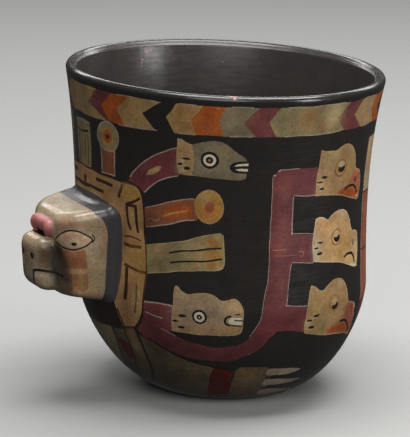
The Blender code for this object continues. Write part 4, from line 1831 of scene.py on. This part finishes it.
def add_camera(studio):
    azimuth, elevation, roll = studio.camera_azimuth, studio.camera_elevation, studio.camera_roll
    level = math.cos(elevation)
    back = Vector((math.sin(azimuth) * level, -math.cos(azimuth) * level, math.sin(elevation)))
    right = Vector((math.cos(azimuth), math.sin(azimuth), 0.0))
    up = back.cross(right)
    rolled_right = right * math.cos(roll) + up * math.sin(roll)
    rolled_up = up * math.cos(roll) - right * math.sin(roll)
    aim = right * studio.camera_aside + Vector((0.0, 0.0, studio.camera_aim))
    data = bpy.data.cameras.new("camera")
    data.sensor_fit = "VERTICAL"
    data.sensor_height = 36.0
    data.lens = studio.camera_focal
    camera = bpy.data.objects.new("camera", data)
    turn = Matrix((rolled_right, rolled_up, back)).transposed().to_4x4()
    camera.matrix_world = Matrix.Translation(aim + back * studio.camera_distance) @ turn
    bpy.context.scene.collection.objects.link(camera)
    bpy.context.scene.camera = camera


class EffigyCupSettings(bpy.types.PropertyGroup):
    """All that a user would change."""

    cup: bpy.props.PointerProperty(type=CupSizes, name="Cup", description="Sizes of the hollow cup")
    head: bpy.props.PointerProperty(type=HeadSizes, name="Head", description="Sizes of the condor's head")
    colours: bpy.props.PointerProperty(type=SlipColours, name="Slips", description="Colours of the slips")
    studio: bpy.props.PointerProperty(type=StudioSettings, name="Studio", description="Camera and floor")


class EFFIGY_PT_panel(bpy.types.Panel):
    """The effigy cup and its studio, step by step"""

    bl_label = "Effigy cup"
    bl_space_type = "VIEW_3D"
    bl_region_type = "UI"
    bl_category = "Effigy cup"

    def draw(self, context):
        for operator in (EFFIGY_OT_cup, EFFIGY_OT_studio):
            self.layout.operator(operator.bl_idname)
        settings = context.scene.effigy_cup
        for group in (settings.cup, settings.head, settings.colours, settings.studio):
            box = self.layout.box()
            for name in group.__annotations__:
                box.prop(group, name)


CLASSES = (
    CupSizes, HeadSizes, SlipColours, StudioSettings, EffigyCupSettings,
    EFFIGY_OT_cup, EFFIGY_OT_studio, EFFIGY_PT_panel,
)


def register():
    for cls in CLASSES:
        bpy.utils.register_class(cls)
    bpy.types.Scene.effigy_cup = bpy.props.PointerProperty(type=EffigyCupSettings)


def unregister():
    del bpy.types.Scene.effigy_cup
    for cls in reversed(CLASSES):
        bpy.utils.unregister_class(cls)


def main():
    register()
    bpy.ops.effigy.cup()
    bpy.ops.effigy.studio()


if __name__ == "__main__":
    main()
